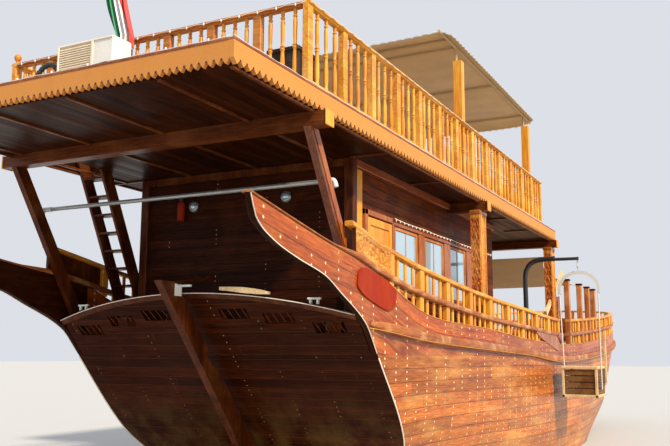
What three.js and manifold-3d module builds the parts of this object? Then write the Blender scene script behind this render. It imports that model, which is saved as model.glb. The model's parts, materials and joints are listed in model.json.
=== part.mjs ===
// Wooden motor dhow, 24 m over all, afloat, with a cabin, an upper deck and two awnings.
// Millimetres. x runs forward from midships, y to port, z up from the waterline.
import * as THREE from "three";
import Module from "manifold-3d";
import { mergeVertices } from "three/addons/utils/BufferGeometryUtils.js";

const wasm = await Module();
wasm.setup();

// Driving sizes
const gap = 0.3; // air between touching pieces
const sink = 12; // how far a joined piece reaches into what carries it
const transomFoot = -7090; // where the raked transom crosses the waterline
const rake = 0.885; // how far the transom leans aft for each mm of height
const keelZ = -1450;
const deckZ = 2100; // main deck, level to past midships
const plankThick = 80;
const upperDeck = { aft: -12100, fore: 1250, half: 2390, top: 4940, thick: 210 };
const upperRail = { aft: -10500, fore: 290, half: 2265, height: 1050, firstBay: 869 };
const railBays = { stern: 7, side: 13 };
const fascia = { thick: 50, above: 20, depth: 190, toothDepth: 70, tooth: 140 };
const cabin = { aft: -8350, fore: -1800, half: 1750, wall: 70, top: upperDeck.top - upperDeck.thick };
const beam = { width: 170, depth: 160, half: 2470, places: [-10370, -4400, 1020] };
const balustrade = { aft: -9700, fore: 60, firstPost: -8520, pitch: 953, bays: 9, panelAft: -9640 };
const gate = { aft: 60, fore: 1050 };
const davit = { x: -475, y: -2080, armZ: 4130, reach: 1110, radius: 42 };
const step = { aft: -850, fore: 100, inner: -2850, outer: -3560, bottom: 1270, top: 1880 };
const beamBottom = cabin.top - beam.depth;

// Hull table of offsets. Each row: place along the length (0 sternpost, 1 stem), deck height, then half
// breadths at keel, low bilge, bilge, waterline, topside and deck.
const levels = [keelZ, -1000, -500, 0, 1000];
const stations = [
  [0.0, deckZ, 100, 110, 300, 1480, 2330, 2400],
  [0.1, deckZ, 110, 360, 1230, 2000, 2440, 2480],
  [0.25, deckZ, 120, 1150, 1980, 2400, 2590, 2590],
  [0.45, deckZ, 120, 1550, 2270, 2570, 2680, 2660],
  [0.65, 2130, 120, 1400, 2150, 2500, 2680, 2690],
  [0.8, 2260, 120, 850, 1550, 2020, 2440, 2580],
  [0.92, 2450, 110, 300, 720, 1120, 1650, 1980],
  [1.0, 2650, 95, 95, 95, 95, 95, 95],
];

// Stem profile. Each row: height, x of the hull's fore end.
const stemProfile = [
  [keelZ, 6200],
  [-1000, 7000],
  [-500, 7900],
  [0, 8800],
  [1000, 10300],
  [2650, 11700],
  [3600, 12150],
];

// Sheer lines. Each row: x, top of the side planking where the cap is higher, top of the gunwale cap, top
// of the handrail.
const sheer = [
  [-11950, 3800, 3620, 3900],
  [-10500, 3560, 3395, 3760],
  [-9500, 3400, 3265, 3590],
  [-8520, 2960, 3090, 3425],
  [-7300, 2640, 2930, 3270],
  [-4900, 2535, 2750, 3080],
  [-2600, 2410, 2665, 2980],
  [0, 2350, 2590, 2890],
  [2000, 2390, 2660, 2965],
  [5000, 2560, 2840, 3140],
  [8500, 2830, 3110, 3400],
  [11700, 3130, 3420, 3690],
];

// Smooth curve through rows of numbers, read at the given column.
function curve(rows, column) {
  const count = rows.length;
  const x = (i) => rows[i][0];
  const v = (i) => rows[i][column];
  const slope = (i) => {
    const before = Math.max(i - 1, 0);
    const after = Math.min(i + 1, count - 1);
    return (v(after) - v(before)) / (x(after) - x(before));
  };
  return (at) => {
    const place = Math.min(Math.max(at, x(0)), x(count - 1));
    let i = 0;
    while (i < count - 2 && place > x(i + 1)) i += 1;
    const span = x(i + 1) - x(i);
    const t = (place - x(i)) / span;
    const h = t * t * (3 - 2 * t);
    return (
      v(i) * (1 - h) + v(i + 1) * h + span * t * (1 - t) * ((1 - t) * slope(i) - t * slope(i + 1))
    );
  };
}

const transomX = (z) => transomFoot - rake * z;
const stemX = curve(stemProfile, 1);
const deckAt = curve(stations, 1);
const breadthAt = levels.map((_, i) => curve(stations, i + 2));
breadthAt.push(curve(stations, levels.length + 2));
const gunwale = curve(sheer, 2);
const capDepth = 75;
const strake = curve(sheer, 1);
const planking = (x) => Math.min(strake(x), gunwale(x) - capDepth - gap);
const handrail = curve(sheer, 3);

// Half breadth of the hull at a place and a height: straight between the table's levels.
function halfBreadth(place, z) {
  const heights = [...levels, deckAt(place)];
  let i = 0;
  while (i < heights.length - 2 && z > heights[i + 1]) i += 1;
  const t = Math.min(Math.max((z - heights[i]) / (heights[i + 1] - heights[i]), 0), 1);
  return breadthAt[i](place) * (1 - t) + breadthAt[i + 1](place) * t;
}

// Half breadth of the topsides at deck level, for what stands on the hull's edge at x.
function sideAt(x) {
  const z = deckZ;
  const place = Math.min(Math.max((x - transomX(z)) / (stemX(2650) - transomX(z)), 0), 1);
  const wing = Math.max(0, transomX(z) - x) * 0.035; // the stern wings flare a little
  return halfBreadth(place, deckAt(place)) + wing;
}
const deckHeight = (x) => deckAt((x - transomX(deckZ)) / (stemX(2650) - transomX(deckZ)));

const group = new THREE.Group();
group.name = "dhow";

const material = (color, roughness, metalness = 0) =>
  new THREE.MeshStandardMaterial({ color, roughness, metalness });
const varnish = material(0x9a4a1c, 0.35);
const hullWood = material(0x8c3d18, 0.4);
const darkVarnish = material(0x4a1d0e, 0.25);
const goldWood = material(0xc98338, 0.4);
const deckTeak = material(0x9c7a52, 0.7);
const canvas = material(0xb79b6c, 0.9);
const paintedWhite = material(0xe8e6e0, 0.5);
const blackSteel = material(0x1c1c1e, 0.4, 0.5);
const greySteel = material(0x8d9093, 0.4, 0.8);
const bronze = material(0x9c6f3a, 0.35, 0.9);
const windowGlass = material(0x8fb4cc, 0.05);
const flagCloth = material(0x2f7d4f, 0.9);

// Solid from a closed geometry, with only shared positions left.
function solid(geometry) {
  const bare = geometry.clone();
  bare.deleteAttribute("normal");
  bare.deleteAttribute("uv");
  const merged = mergeVertices(bare, 1e-3);
  const index = Uint32Array.from(merged.index.array);
  const positions = Float32Array.from(merged.attributes.position.array);
  const body = new wasm.Manifold(
    new wasm.Mesh({ numProp: 3, vertProperties: positions, triVerts: index })
  );
  return body;
}

// Geometry back from a solid.
function shaped(body) {
  const mesh = body.getMesh();
  const geometry = new THREE.BufferGeometry();
  geometry.setAttribute("position", new THREE.BufferAttribute(mesh.vertProperties, 3));
  geometry.setIndex(new THREE.BufferAttribute(mesh.triVerts, 1));
  return geometry;
}

function join(geometries) {
  return shaped(geometries.map(solid).reduce((all, next) => all.add(next)));
}

function cut(geometry, cutters) {
  return shaped(cutters.map(solid).reduce((all, next) => all.subtract(next), solid(geometry)));
}

// A piece fitted against its neighbours: cut by copies of them, each a little larger or smaller and raised
// or lowered, so that air is left on every face.
function fitted(geometry, neighbours) {
  const copies = [];
  for (const neighbour of neighbours) {
    for (const grow of [-1, 1]) {
      for (const lift of [-1, 1]) {
        const copy = neighbour.clone().scale(1 + grow * 3e-4, 1 + grow * 6e-4, 1);
        copies.push(copy.translate(0, 0, lift * 3 * gap));
      }
    }
  }
  return cut(geometry, copies);
}

function box(x0, x1, y0, y1, z0, z1) {
  const geometry = new THREE.BoxGeometry(x1 - x0, y1 - y0, z1 - z0);
  return geometry.translate((x0 + x1) / 2, (y0 + y1) / 2, (z0 + z1) / 2);
}

// Outline given as [x, z] points, carried across from y0 to y1.
function sideProfile(points, y0, y1) {
  const shape = new THREE.Shape(points.map(([x, z]) => new THREE.Vector2(x, z)));
  const geometry = new THREE.ExtrudeGeometry(shape, { depth: y1 - y0, bevelEnabled: false });
  geometry.rotateX(Math.PI / 2);
  return geometry.translate(0, y1, 0);
}

// Round bar along a list of points, straight between them or smooth.
function bar(points, radius, sides = 8, smoothSteps = 0) {
  const path = new THREE.CurvePath();
  const corners = points.map((p) => new THREE.Vector3(...p));
  if (smoothSteps) {
    path.add(new THREE.CatmullRomCurve3(corners, false, "centripetal"));
  } else {
    corners.slice(1).forEach((end, i) => path.add(new THREE.LineCurve3(corners[i], end)));
  }
  const ring = Array.from({ length: sides }, (_, i) => {
    const angle = (2 * Math.PI * i) / sides;
    return new THREE.Vector2(Math.cos(angle) * radius, Math.sin(angle) * radius);
  });
  const steps = smoothSteps || corners.length - 1;
  return new THREE.ExtrudeGeometry(new THREE.Shape(ring), { steps, extrudePath: path });
}

// Closed skin through rings of points that all have the same count. An end is closed by a ladder of
// faces between opposite points.
function loft(rings) {
  const count = rings[0].length;
  const positions = rings.flat(2);
  const index = [];
  for (let r = 0; r < rings.length - 1; r += 1) {
    for (let i = 0; i < count; i += 1) {
      const a = r * count + i;
      const b = r * count + ((i + 1) % count);
      if (i < count / 2) index.push(a, b, b + count, a, b + count, a + count);
      else index.push(a, b, a + count, b, b + count, a + count); // the two sides are mirror images
    }
  }
  const last = (rings.length - 1) * count;
  for (let i = 0; i < count / 2 - 1; i += 1) {
    const j = count - 1 - i;
    index.push(i, j, i + 1, i + 1, j, j - 1);
    index.push(last + i, last + i + 1, last + j, last + i + 1, last + j - 1, last + j);
  }
  const geometry = new THREE.BufferGeometry();
  geometry.setAttribute("position", new THREE.Float32BufferAttribute(positions, 3));
  geometry.setIndex(index);
  return geometry;
}

// Strip that follows the starboard side. bottom and top are heights at x, outer is the distance from the
// centreline of its outer face.
function ribbon(places, bottom, top, outer, thick) {
  const rings = places.map((x) => {
    const far = -outer(x);
    const near = far + thick;
    return [
      [x, far, bottom(x)],
      [x, near, bottom(x)],
      [x, near, top(x)],
      [x, far, top(x)],
    ];
  });
  return loft(rings);
}

function spaced(from, to, count) {
  return Array.from({ length: count + 1 }, (_, i) => from + ((to - from) * i) / count);
}

// The same piece on the other side of the boat.
function mirrored(geometry) {
  const copy = geometry.index ? geometry.toNonIndexed() : geometry.clone();
  const p = copy.attributes.position;
  for (let i = 0; i < p.count; i += 3) {
    const [x, y, z] = [p.getX(i), p.getY(i), p.getZ(i)];
    p.setXYZ(i, p.getX(i + 1), -p.getY(i + 1), p.getZ(i + 1));
    p.setXYZ(i + 1, x, -y, z);
    p.setY(i + 2, -p.getY(i + 2));
  }
  return copy;
}

// Lean a piece aft with height, as the transom leans.
function raked(geometry) {
  const p = geometry.attributes.position;
  for (let i = 0; i < p.count; i += 1) p.setX(i, p.getX(i) + transomX(p.getZ(i)));
  return geometry;
}

function piece(name, geometry, look) {
  const mesh = new THREE.Mesh(geometry, look);
  mesh.name = name;
  geometry.computeVertexNormals();
  group.add(mesh);
}

function pair(name, starboard, look) {
  piece(`${name}_starboard`, starboard, look);
  piece(`${name}_port`, mirrored(starboard), look);
}

// Hull with its deck, from the raked transom to the stem
function hullRing(place) {
  const heights = [...levels, deckAt(place)];
  const side = heights.map((z, i) => {
    const x = transomX(z) + place * (stemX(z) - transomX(z));
    return [x, breadthAt[i](place), z];
  });
  const starboard = side.map(([x, y, z]) => [x, -y, z]);
  return [...side, ...starboard.reverse()];
}

const hullPlaces = [...spaced(0, 0.86, 13), 0.905, 0.94, 0.97, 1];
const aperture = { postDepth: 190, fore: -5400, bottom: -1200, top: -340, half: 520 };
const propeller = { x: -5610, z: -770, radius: 370, hub: 75, blades: 3 };
const apertureOutline = [
  [transomX(aperture.bottom) + aperture.postDepth, aperture.bottom],
  [aperture.fore, aperture.bottom],
  [aperture.fore, aperture.top],
  [transomX(aperture.top) + aperture.postDepth, aperture.top],
];

const hatch = { aft: 4600, fore: 5500, half: 450, coaming: 220, wall: 50, lid: 45, play: 6, lap: 20 };

// Rudder axis, parallel to the transom, and the gudgeons that hold it
const rudder = { axisGap: 150, half: 55, headZ: 2990, footZ: -1560, notch: 70 };
const gudgeons = [2030, 450, -1350];
const gudgeon = { half: 35, tall: 55, inset: 60, play: 32 };
const gudgeonArms = gudgeons.map((z) =>
  raked(
    box(
      -rudder.axisGap - gudgeon.half,
      gudgeon.inset,
      -gudgeon.half,
      gudgeon.half,
      z - gudgeon.tall,
      z + gudgeon.tall
    )
  )
);
const hullBody = cut(loft(hullPlaces.map(hullRing)), [
  sideProfile(apertureOutline, -aperture.half, aperture.half),
]);
const hull = join([hullBody, ...gudgeonArms]);
piece("hull", hull, hullWood);

const keel = { half: 95, depth: 200, aft: transomX(keelZ) + 60, fore: stemX(keelZ) - 20 };
const keelBar = box(keel.aft, keel.fore, -keel.half, keel.half, keelZ - keel.depth, keelZ - gap);
piece("keel", keelBar, darkVarnish);

// Stem post along the bow, with its head above the rails
const stemFace = spaced(0, 6, 6).map((i) => [stemX(stemProfile[i][0]) + gap, stemProfile[i][0]]);
const stemPost = { depth: 260, taper: 12, half: 70 };
const stemFront = stemFace.map(([x, z], i) => [x + stemPost.depth - stemPost.taper * i, z]).reverse();
const stemHead = [
  [12190, 4050],
  [12440, 4230],
  [12560, 4060],
];
const stemOutline = [...stemFace, ...stemHead, ...stemFront];
piece("stem", sideProfile(stemOutline, -stemPost.half, stemPost.half), varnish);

// Side planking above the deck; aft of the transom it runs on as a wing with a curved lower edge
const wingLower = [
  [-11950, 3545],
  [-11840, 3330],
  [-11520, 3170],
  [-11040, 3050],
  [-10400, 2930],
  [-10040, 2790],
  [-9300, 2460],
  [-8950, deckZ + gap],
];
const wingEdge = curve(wingLower, 1);
const sideFoot = (x) => (x < -8950 ? wingEdge(x) : deckHeight(x) - sink);
const wingPlaces = [-11950, -11840, -11520, -11040, -10400, -10040, -9650, -9300, -8950];
const sidePlaces = [...wingPlaces, ...spaced(-8400, 10400, 16), 11000];
const sidePlanks = ribbon(sidePlaces, sideFoot, planking, sideAt, plankThick);
const bulwark = fitted(sidePlanks, [hull]);
pair("bulwark", bulwark, hullWood);

// Wale along the hull below the deck edge
const wale = { thick: 75, depth: 130 };
const waleLine = curve(
  [
    [-9150, 2400],
    [-7300, 2260],
    [-2600, 2090],
    [0, 1960],
    [4000, 2080],
    [8000, 2350],
    [10900, 2660],
  ],
  1
);
const waleOuter = (x) => sideAt(x) + wale.thick;
const waleStrip = ribbon(
  spaced(-8900, 10400, 16),
  waleLine,
  (x) => waleLine(x) + wale.depth,
  waleOuter,
  wale.thick + plankThick / 2
);
pair("wale", fitted(waleStrip, [hull, sidePlanks]), varnish);

// Transom board above the deck, with the row of barred openings under its crowned top
const transomBoard = { half: 2316, thick: 90, corner: 2500, crown: 2800 };
const crownAt = (y) =>
  transomBoard.crown - (transomBoard.crown - transomBoard.corner) * (y / transomBoard.half) ** 2;
const opening = { places: [-1900, -1250, -620, 620, 1250, 1900], half: 215, drop: 110, tall: 130 };
const crownLine = spaced(-transomBoard.half, transomBoard.half, 10);
function acrossProfile(points, depth) {
  const shape = new THREE.Shape(points.map(([y, z]) => new THREE.Vector2(y, z)));
  const geometry = new THREE.ExtrudeGeometry(shape, { depth, bevelEnabled: false });
  return geometry.rotateX(Math.PI / 2).rotateZ(Math.PI / 2);
}
const boardOutline = [
  [-transomBoard.half, deckZ + gap],
  [transomBoard.half, deckZ + gap],
  ...crownLine.map((y) => [-y, crownAt(y)]),
];
const boardHoles = opening.places.map((y) => {
  const top = crownAt(y) - opening.drop;
  return box(-300, 300, y - opening.half, y + opening.half, top - opening.tall, top);
});
piece(
  "transom_board",
  raked(cut(acrossProfile(boardOutline, transomBoard.thick), boardHoles)),
  darkVarnish
);
const crest = { thick: 70, depth: 170, out: 50 };
const crestOutline = [
  ...crownLine.map((y) => [y, crownAt(y) + gap]),
  ...crownLine.map((y) => [-y, crownAt(y) + crest.thick]),
];
const crestBar = acrossProfile(crestOutline, crest.depth).translate(-crest.out, 0, 0);
piece("transom_cap", raked(crestBar), varnish);

// Balustrade on each side: gunwale cap, handrail, posts and balusters
const along = (from, to) => [from, ...sidePlaces.filter((x) => x > from + 1 && x < to - 1), to];
const railPlaces = along(sidePlaces[0], balustrade.fore);
const capHalf = 70;
const capOuter = (x) => sideAt(x) - plankThick / 2 + capHalf;
const cap = ribbon(railPlaces, (x) => gunwale(x) - capDepth, gunwale, capOuter, 2 * capHalf);
const hand = { depth: 60, wide: 110 };
const handFoot = (x) => handrail(x) - hand.depth;
const handOuter = (x) => capOuter(x) - (2 * capHalf - hand.wide) / 2;
const handPlaces = along(balustrade.aft, balustrade.fore);
const handrailStrip = ribbon(handPlaces, handFoot, handrail, handOuter, hand.wide);
const stick = (x, width, depth, bottom, top) => {
  const y = -(sideAt(x) - plankThick / 2);
  return box(x - width / 2, x + width / 2, y - depth / 2, y + depth / 2, bottom, top);
};
const lastPost = balustrade.firstPost + balustrade.pitch * balustrade.bays;
const postPlaces = spaced(balustrade.firstPost, lastPost, balustrade.bays);
const sidePost = { wide: 130, upper: 90, lower: 76 };
const upperPosts = [balustrade.panelAft, ...postPlaces].map((x) =>
  stick(x, sidePost.wide, sidePost.upper, gunwale(x) - sink, handFoot(x) + sink)
);
const lowerPosts = postPlaces
  .slice(1)
  .map((x) => stick(x, sidePost.wide, sidePost.lower, planking(x) - sink, gunwale(x) - capDepth + sink));
const sideBalustrade = join([cap, handrailStrip, ...upperPosts, ...lowerPosts]);
pair("balustrade", fitted(sideBalustrade, [bulwark]), goldWood);

// Bow rail with its tall stanchions, forward of the gate
const bowPlaces = along(gate.fore, 11000);
const bowCap = ribbon(bowPlaces, (x) => gunwale(x) - capDepth, gunwale, capOuter, 2 * capHalf);
const bowHand = ribbon(bowPlaces, handFoot, handrail, handOuter, hand.wide);
const stanchions = { places: [1120, 2480, 3440, 4260], wide: 130, top: 3830 };
const bowPost = { aft: gate.fore + 70, fore: 10600, bays: 10, wide: 110 };
const bowPosts = spaced(bowPost.aft, bowPost.fore, bowPost.bays).map((x) =>
  stick(x, bowPost.wide, sidePost.lower, planking(x) - sink, handFoot(x) + sink)
);
const tallPosts = stanchions.places.map((x) =>
  stick(x, stanchions.wide, stanchions.wide, handFoot(x) - sink, stanchions.top)
);
const bowRail = join([bowCap, bowHand, ...bowPosts, ...tallPosts]);
pair("bow_rail", fitted(bowRail, [bulwark]), goldWood);

// Upper deck with the beams that carry it and the stair's opening
const stair = { top: -9100, foot: -7760, inner: 1850, outer: 2290, deep: 210, thick: 45 };
const well = { aft: -10150, fore: -9000, play: 30 };
const stairHole = box(well.aft, well.fore, stair.inner - well.play, stair.outer + well.play, 4000, 5200);
const slab = box(
  upperDeck.aft + fascia.thick + gap,
  upperDeck.fore - fascia.thick - gap,
  -upperDeck.half + fascia.thick + gap,
  upperDeck.half - fascia.thick - gap,
  cabin.top,
  upperDeck.top
);
piece("upper_deck", cut(slab, [stairHole]), darkVarnish);
const beamNames = ["beam_aft", "beam_mid", "beam_fore"];
beam.places.forEach((x, i) => {
  const aft = x - beam.width / 2;
  const timber = box(aft, aft + beam.width, -beam.half, beam.half, beamBottom, cabin.top - gap);
  piece(beamNames[i], timber, darkVarnish);
});

// Fascia boards round the upper deck, with a sawtooth lower edge
const fasciaTop = upperDeck.top + fascia.above;
function toothedEdge(from, to) {
  const root = fasciaTop - fascia.depth;
  const halves = 2 * Math.round((to - from) / fascia.tooth);
  return spaced(from, to, halves).map((at, i) => [at, i % 2 ? root - fascia.toothDepth : root]);
}
function fasciaBoard(from, to) {
  return [...toothedEdge(from, to), [to, fasciaTop], [from, fasciaTop]];
}
const slotHalf = beam.width / 2 + gap;
const beamSlots = beam.places.map((x) =>
  box(x - slotHalf, x + slotHalf, -3000, 3000, beamBottom - gap, cabin.top + 2 * sink)
);
const longBoard = sideProfile(
  fasciaBoard(upperDeck.aft, upperDeck.fore),
  -upperDeck.half,
  -upperDeck.half + fascia.thick
);
pair("fascia", cut(longBoard, beamSlots), goldWood);
const fasciaInside = upperDeck.half - fascia.thick - gap;
const crossBoard = () => acrossProfile(fasciaBoard(-fasciaInside, fasciaInside), fascia.thick);
piece("fascia_stern", crossBoard().translate(upperDeck.aft, 0, 0), goldWood);
piece("fascia_fore", crossBoard().translate(upperDeck.fore - fascia.thick, 0, 0), goldWood);

// Upper deck rails
const railTop = upperDeck.top + upperRail.height;
const railFoot = upperDeck.top + gap;
const railBar = { half: 45, top: 60, low: 50, lowZ: upperDeck.top + 90, postHalf: 50 };
const sidePosts = [
  upperRail.aft,
  ...spaced(upperRail.aft + upperRail.firstBay, upperRail.fore, railBays.side - 1),
];
function railBars(x0, x1, y0, y1) {
  return [
    box(x0, x1, y0, y1, railTop - railBar.top, railTop),
    box(x0, x1, y0, y1, railBar.lowZ, railBar.lowZ + railBar.low),
  ];
}
function railPost(x, y) {
  const half = railBar.postHalf;
  return box(x - half, x + half, y - half, y + half, railFoot, railTop - railBar.top + sink);
}
const railAft = upperRail.aft - railBar.postHalf;
const railFore = upperRail.fore + railBar.postHalf;
const sideRail = join([
  ...railBars(railAft, railFore, -upperRail.half - railBar.half, -upperRail.half + railBar.half),
  ...sidePosts.map((x) => railPost(x, -upperRail.half)),
]);
pair("upper_rail", sideRail, goldWood);
const sternSpan = upperRail.half - railBar.postHalf - gap;
const sternPosts = spaced(-upperRail.half, upperRail.half, railBays.stern).slice(1, -1);
function crossRail(x) {
  return join([
    ...railBars(x - railBar.half, x + railBar.half, -sternSpan, sternSpan),
    ...sternPosts.map((y) => railPost(x, y)),
  ]);
}
piece("upper_rail_stern", crossRail(upperRail.aft), goldWood);
piece("upper_rail_fore", crossRail(upperRail.fore), goldWood);

// Cabin walls, standing on the main deck under the beams
const cabinFoot = deckZ + gap;
const cabinTop = cabin.top - gap;
const windows = [
  { aft: -6880, fore: -6030 },
  { aft: -5640, fore: -4830 },
  { aft: -4440, fore: -3640 },
  { aft: -3250, fore: -2450 },
];
const windowBottom = 3050;
const windowTop = 3950;
const sideDoor = { aft: -7900, fore: -7060, top: 4000 };
const foreDoor = { half: 400, top: 4000 };
const windowHoles = windows.map((w) => box(w.aft, w.fore, -2000, 2000, windowBottom, windowTop));
const wallInside = -cabin.half + cabin.wall;
const sideWall = box(cabin.aft, cabin.fore, -cabin.half, wallInside, cabinFoot, cabinTop);
const doorHole = box(sideDoor.aft, sideDoor.fore, -2000, -1500, deckZ - 10, sideDoor.top);
piece("cabin_wall_starboard", cut(sideWall, [...windowHoles, ...beamSlots, doorHole]), varnish);
piece("cabin_wall_port", mirrored(cut(sideWall, [...windowHoles, ...beamSlots])), varnish);
const wallSpan = cabin.half - cabin.wall - gap;
const aftWall = box(cabin.aft, cabin.aft + cabin.wall, -wallSpan, wallSpan, cabinFoot, cabinTop);
piece("cabin_wall_aft", aftWall, varnish);
const foreWall = box(cabin.fore - cabin.wall, cabin.fore, -wallSpan, wallSpan, cabinFoot, cabinTop);
const foreHole = box(-3000, 0, -foreDoor.half, foreDoor.half, deckZ - 10, foreDoor.top);
const foreLight = { places: [-1100, 1100], half: 350 };
const foreLights = foreLight.places.map((y) =>
  box(-3000, 0, y - foreLight.half, y + foreLight.half, windowBottom, windowTop)
);
piece("cabin_wall_fore", cut(foreWall, [foreHole, ...foreLights]), varnish);

// Window glass behind the side walls
const pane = { aft: -6950, fore: -2380, y: wallInside + gap, thick: 10, lap: 60 };
const glassPane = box(
  pane.aft,
  pane.fore,
  pane.y,
  pane.y + pane.thick,
  windowBottom - pane.lap,
  windowTop + pane.lap
);
pair("window_glass", glassPane, windowGlass);

// Doors, clear of their frames all round
const doorPlay = 8;
const doorThick = 45;
const doorInset = 5;
const sideDoorLeaf = box(
  sideDoor.aft + doorPlay,
  sideDoor.fore - doorPlay,
  -cabin.half + doorInset,
  -cabin.half + doorInset + doorThick,
  deckZ + doorPlay,
  sideDoor.top - doorPlay
);
piece("side_door", sideDoorLeaf, goldWood);
const foreDoorLeaf = box(
  cabin.fore - doorInset - doorThick,
  cabin.fore - doorInset,
  -foreDoor.half + doorPlay,
  foreDoor.half - doorPlay,
  deckZ + doorPlay,
  foreDoor.top - doorPlay
);
piece("fore_door", foreDoorLeaf, goldWood);

// Carved posts between the main deck and the beams, narrowing to the foot
const carved = { y0: -2360, y1: -2190, topHalf: 190, footHalf: 145 };
beam.places.slice(1).forEach((x, i) => {
  const outline = [
    [x - carved.footHalf, deckZ - sink],
    [x + carved.footHalf, deckZ - sink],
    [x + carved.topHalf, beamBottom - gap],
    [x - carved.topHalf, beamBottom - gap],
  ];
  const post = fitted(sideProfile(outline, carved.y0, carved.y1), [hull]);
  pair(["carved_post_mid", "carved_post_fore"][i], post, varnish);
});

// Leaning struts under the overhang, and the pipe between them
const strutFoot = { x: -9120, z: 2560 };
const strutTop = { x: -10370, z: beamBottom - gap };
const strutHalf = 95;
const strutThick = 90;
const strutOutline = [
  [strutFoot.x - strutHalf, strutFoot.z],
  [strutFoot.x + strutHalf, strutFoot.z],
  [strutTop.x + strutHalf, strutTop.z],
  [strutTop.x - strutHalf, strutTop.z],
];
const strutY = -2290;
pair("strut", sideProfile(strutOutline, strutY, strutY + strutThick), varnish);
const pipe = { x: -9880, z: 4070, half: 2190, radius: 28 };
const pipeEnds = [-pipe.half, pipe.half].map((y) => [pipe.x, y, pipe.z]);
piece("cross_pipe", bar(pipeEnds, pipe.radius), greySteel);

// Steep stair to the upper deck on the port side
const stairTopZ = upperDeck.top - 40;
const stairFootZ = deckZ + gap;
const stringerOutline = [
  [stair.foot - stair.deep, stairFootZ],
  [stair.foot, stairFootZ],
  [stair.top, stairTopZ],
  [stair.top - stair.deep, stairTopZ],
];
const stringer = (y) => sideProfile(stringerOutline, y, y + stair.thick);
const tread = { count: 10, inset: 15, half: 15 };
const treadEnd = stair.thick / 2;
const treads = spaced(1, tread.count, tread.count - 1).map((i) => {
  const share = i / (tread.count + 1);
  const z = stairFootZ + share * (stairTopZ - stairFootZ);
  const x = stair.foot + share * (stair.top - stair.foot);
  return box(
    x - stair.deep + tread.inset,
    x - tread.inset,
    stair.inner + treadEnd,
    stair.outer - treadEnd,
    z - tread.half,
    z + tread.half
  );
});
piece("stair", join([stringer(stair.inner), stringer(stair.outer - stair.thick), ...treads]), varnish);

// Rudder hung on the raked transom, with its tiller
const rudderX = (z) => transomX(z) - rudder.axisGap;
const rudderOutline = [
  [rudderX(rudder.footZ) + 10, rudder.footZ],
  [rudderX(rudder.headZ) + 40, rudder.headZ],
  [rudderX(rudder.headZ) - 260, rudder.headZ],
  [rudderX(1000) - 330, 1000],
  [rudderX(200) - 480, 200],
  [rudderX(-600) - 980, -600],
  [rudderX(rudder.footZ) - 1050, rudder.footZ],
];
const tillerEnds = [
  [rudderX(rudder.headZ) - 60, 0, rudder.headZ - 40],
  [rudderX(rudder.headZ) + 900, 0, rudder.headZ + 130],
];
const tiller = bar(tillerEnds, 30);
const notchHalf = gudgeon.tall + gudgeon.play;
const rudderNotches = gudgeons.map((z) =>
  raked(box(-rudder.axisGap - rudder.notch, 100, -200, 200, z - notchHalf, z + notchHalf))
);
const rudderBoard = cut(sideProfile(rudderOutline, -rudder.half, rudder.half), rudderNotches);
piece("rudder", join([rudderBoard, tiller]), darkVarnish);

// Propeller in the stern aperture
const bladeFoot = propeller.hub - 30;
const blade = (i) => {
  const form = new THREE.BoxGeometry(26, 250, propeller.radius - bladeFoot);
  form.rotateZ(Math.PI / 5);
  form.translate(0, 0, (propeller.radius + bladeFoot) / 2);
  form.rotateX((i * 2 * Math.PI) / propeller.blades);
  return form.translate(propeller.x, 0, propeller.z);
};
const hubEnds = [propeller.x - 130, aperture.fore - 8].map((x) => [x, 0, propeller.z]);
const hubBar = bar(hubEnds, propeller.hub, 12);
piece("propeller", join([hubBar, ...spaced(0, 2, 2).map(blade)]), bronze);

// Davit on the starboard deck, with the hoop and the boarding step that hang from its arm
const armEnd = davit.y - davit.reach;
const davitPath = [
  [davit.x, davit.y, deckZ + 5],
  [davit.x, davit.y, davit.armZ - 420],
  [davit.x, davit.y - 60, davit.armZ - 160],
  [davit.x, davit.y - 260, davit.armZ - 20],
  [davit.x, davit.y - 480, davit.armZ],
  [davit.x, armEnd - 60, davit.armZ],
];
const hoop = { radius: 385, endZ: 3475, tube: 32, topZ: 3855 };
const hookEnds = [davit.armZ, hoop.topZ + 5].map((z) => [davit.x, armEnd, z]);
const hook = bar(hookEnds, 14);
piece("davit", join([bar(davitPath, davit.radius, 10), hook]), blackSteel);
const hoopPath = spaced(0, Math.PI, 12).map((a) => [
  davit.x,
  armEnd + Math.cos(a) * hoop.radius,
  hoop.endZ + Math.sin(a) * (hoop.topZ - hoop.tube - hoop.endZ),
]);
const fall = { radius: 16, foot: 1400 };
const fallLines = [
  [armEnd - hoop.radius, step.outer - fall.radius - gap],
  [armEnd + hoop.radius, step.inner + fall.radius + gap],
];
const falls = fallLines.map(([above, beside]) => {
  const line = [
    [davit.x, above, hoop.endZ + 5],
    [davit.x, beside, step.top + 20],
    [davit.x, beside, fall.foot],
  ];
  return bar(line, fall.radius, 6);
});
piece("spreader_hoop", join([bar(hoopPath, hoop.tube, 8), ...falls]), paintedWhite);
const wall = 45;
const stepParts = [
  box(step.aft, step.fore, step.outer, step.inner, step.top - wall, step.top),
  box(step.aft, step.aft + wall, step.outer, step.inner, step.bottom, step.top),
  box(step.fore - wall, step.fore, step.outer, step.inner, step.bottom, step.top),
  box(step.aft, step.fore, step.outer, step.outer + wall, step.bottom, step.top),
  box(step.aft, step.fore, step.inner - wall, step.inner, step.bottom, step.top),
];
piece("boarding_step", join(stepParts), goldWood);

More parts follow.
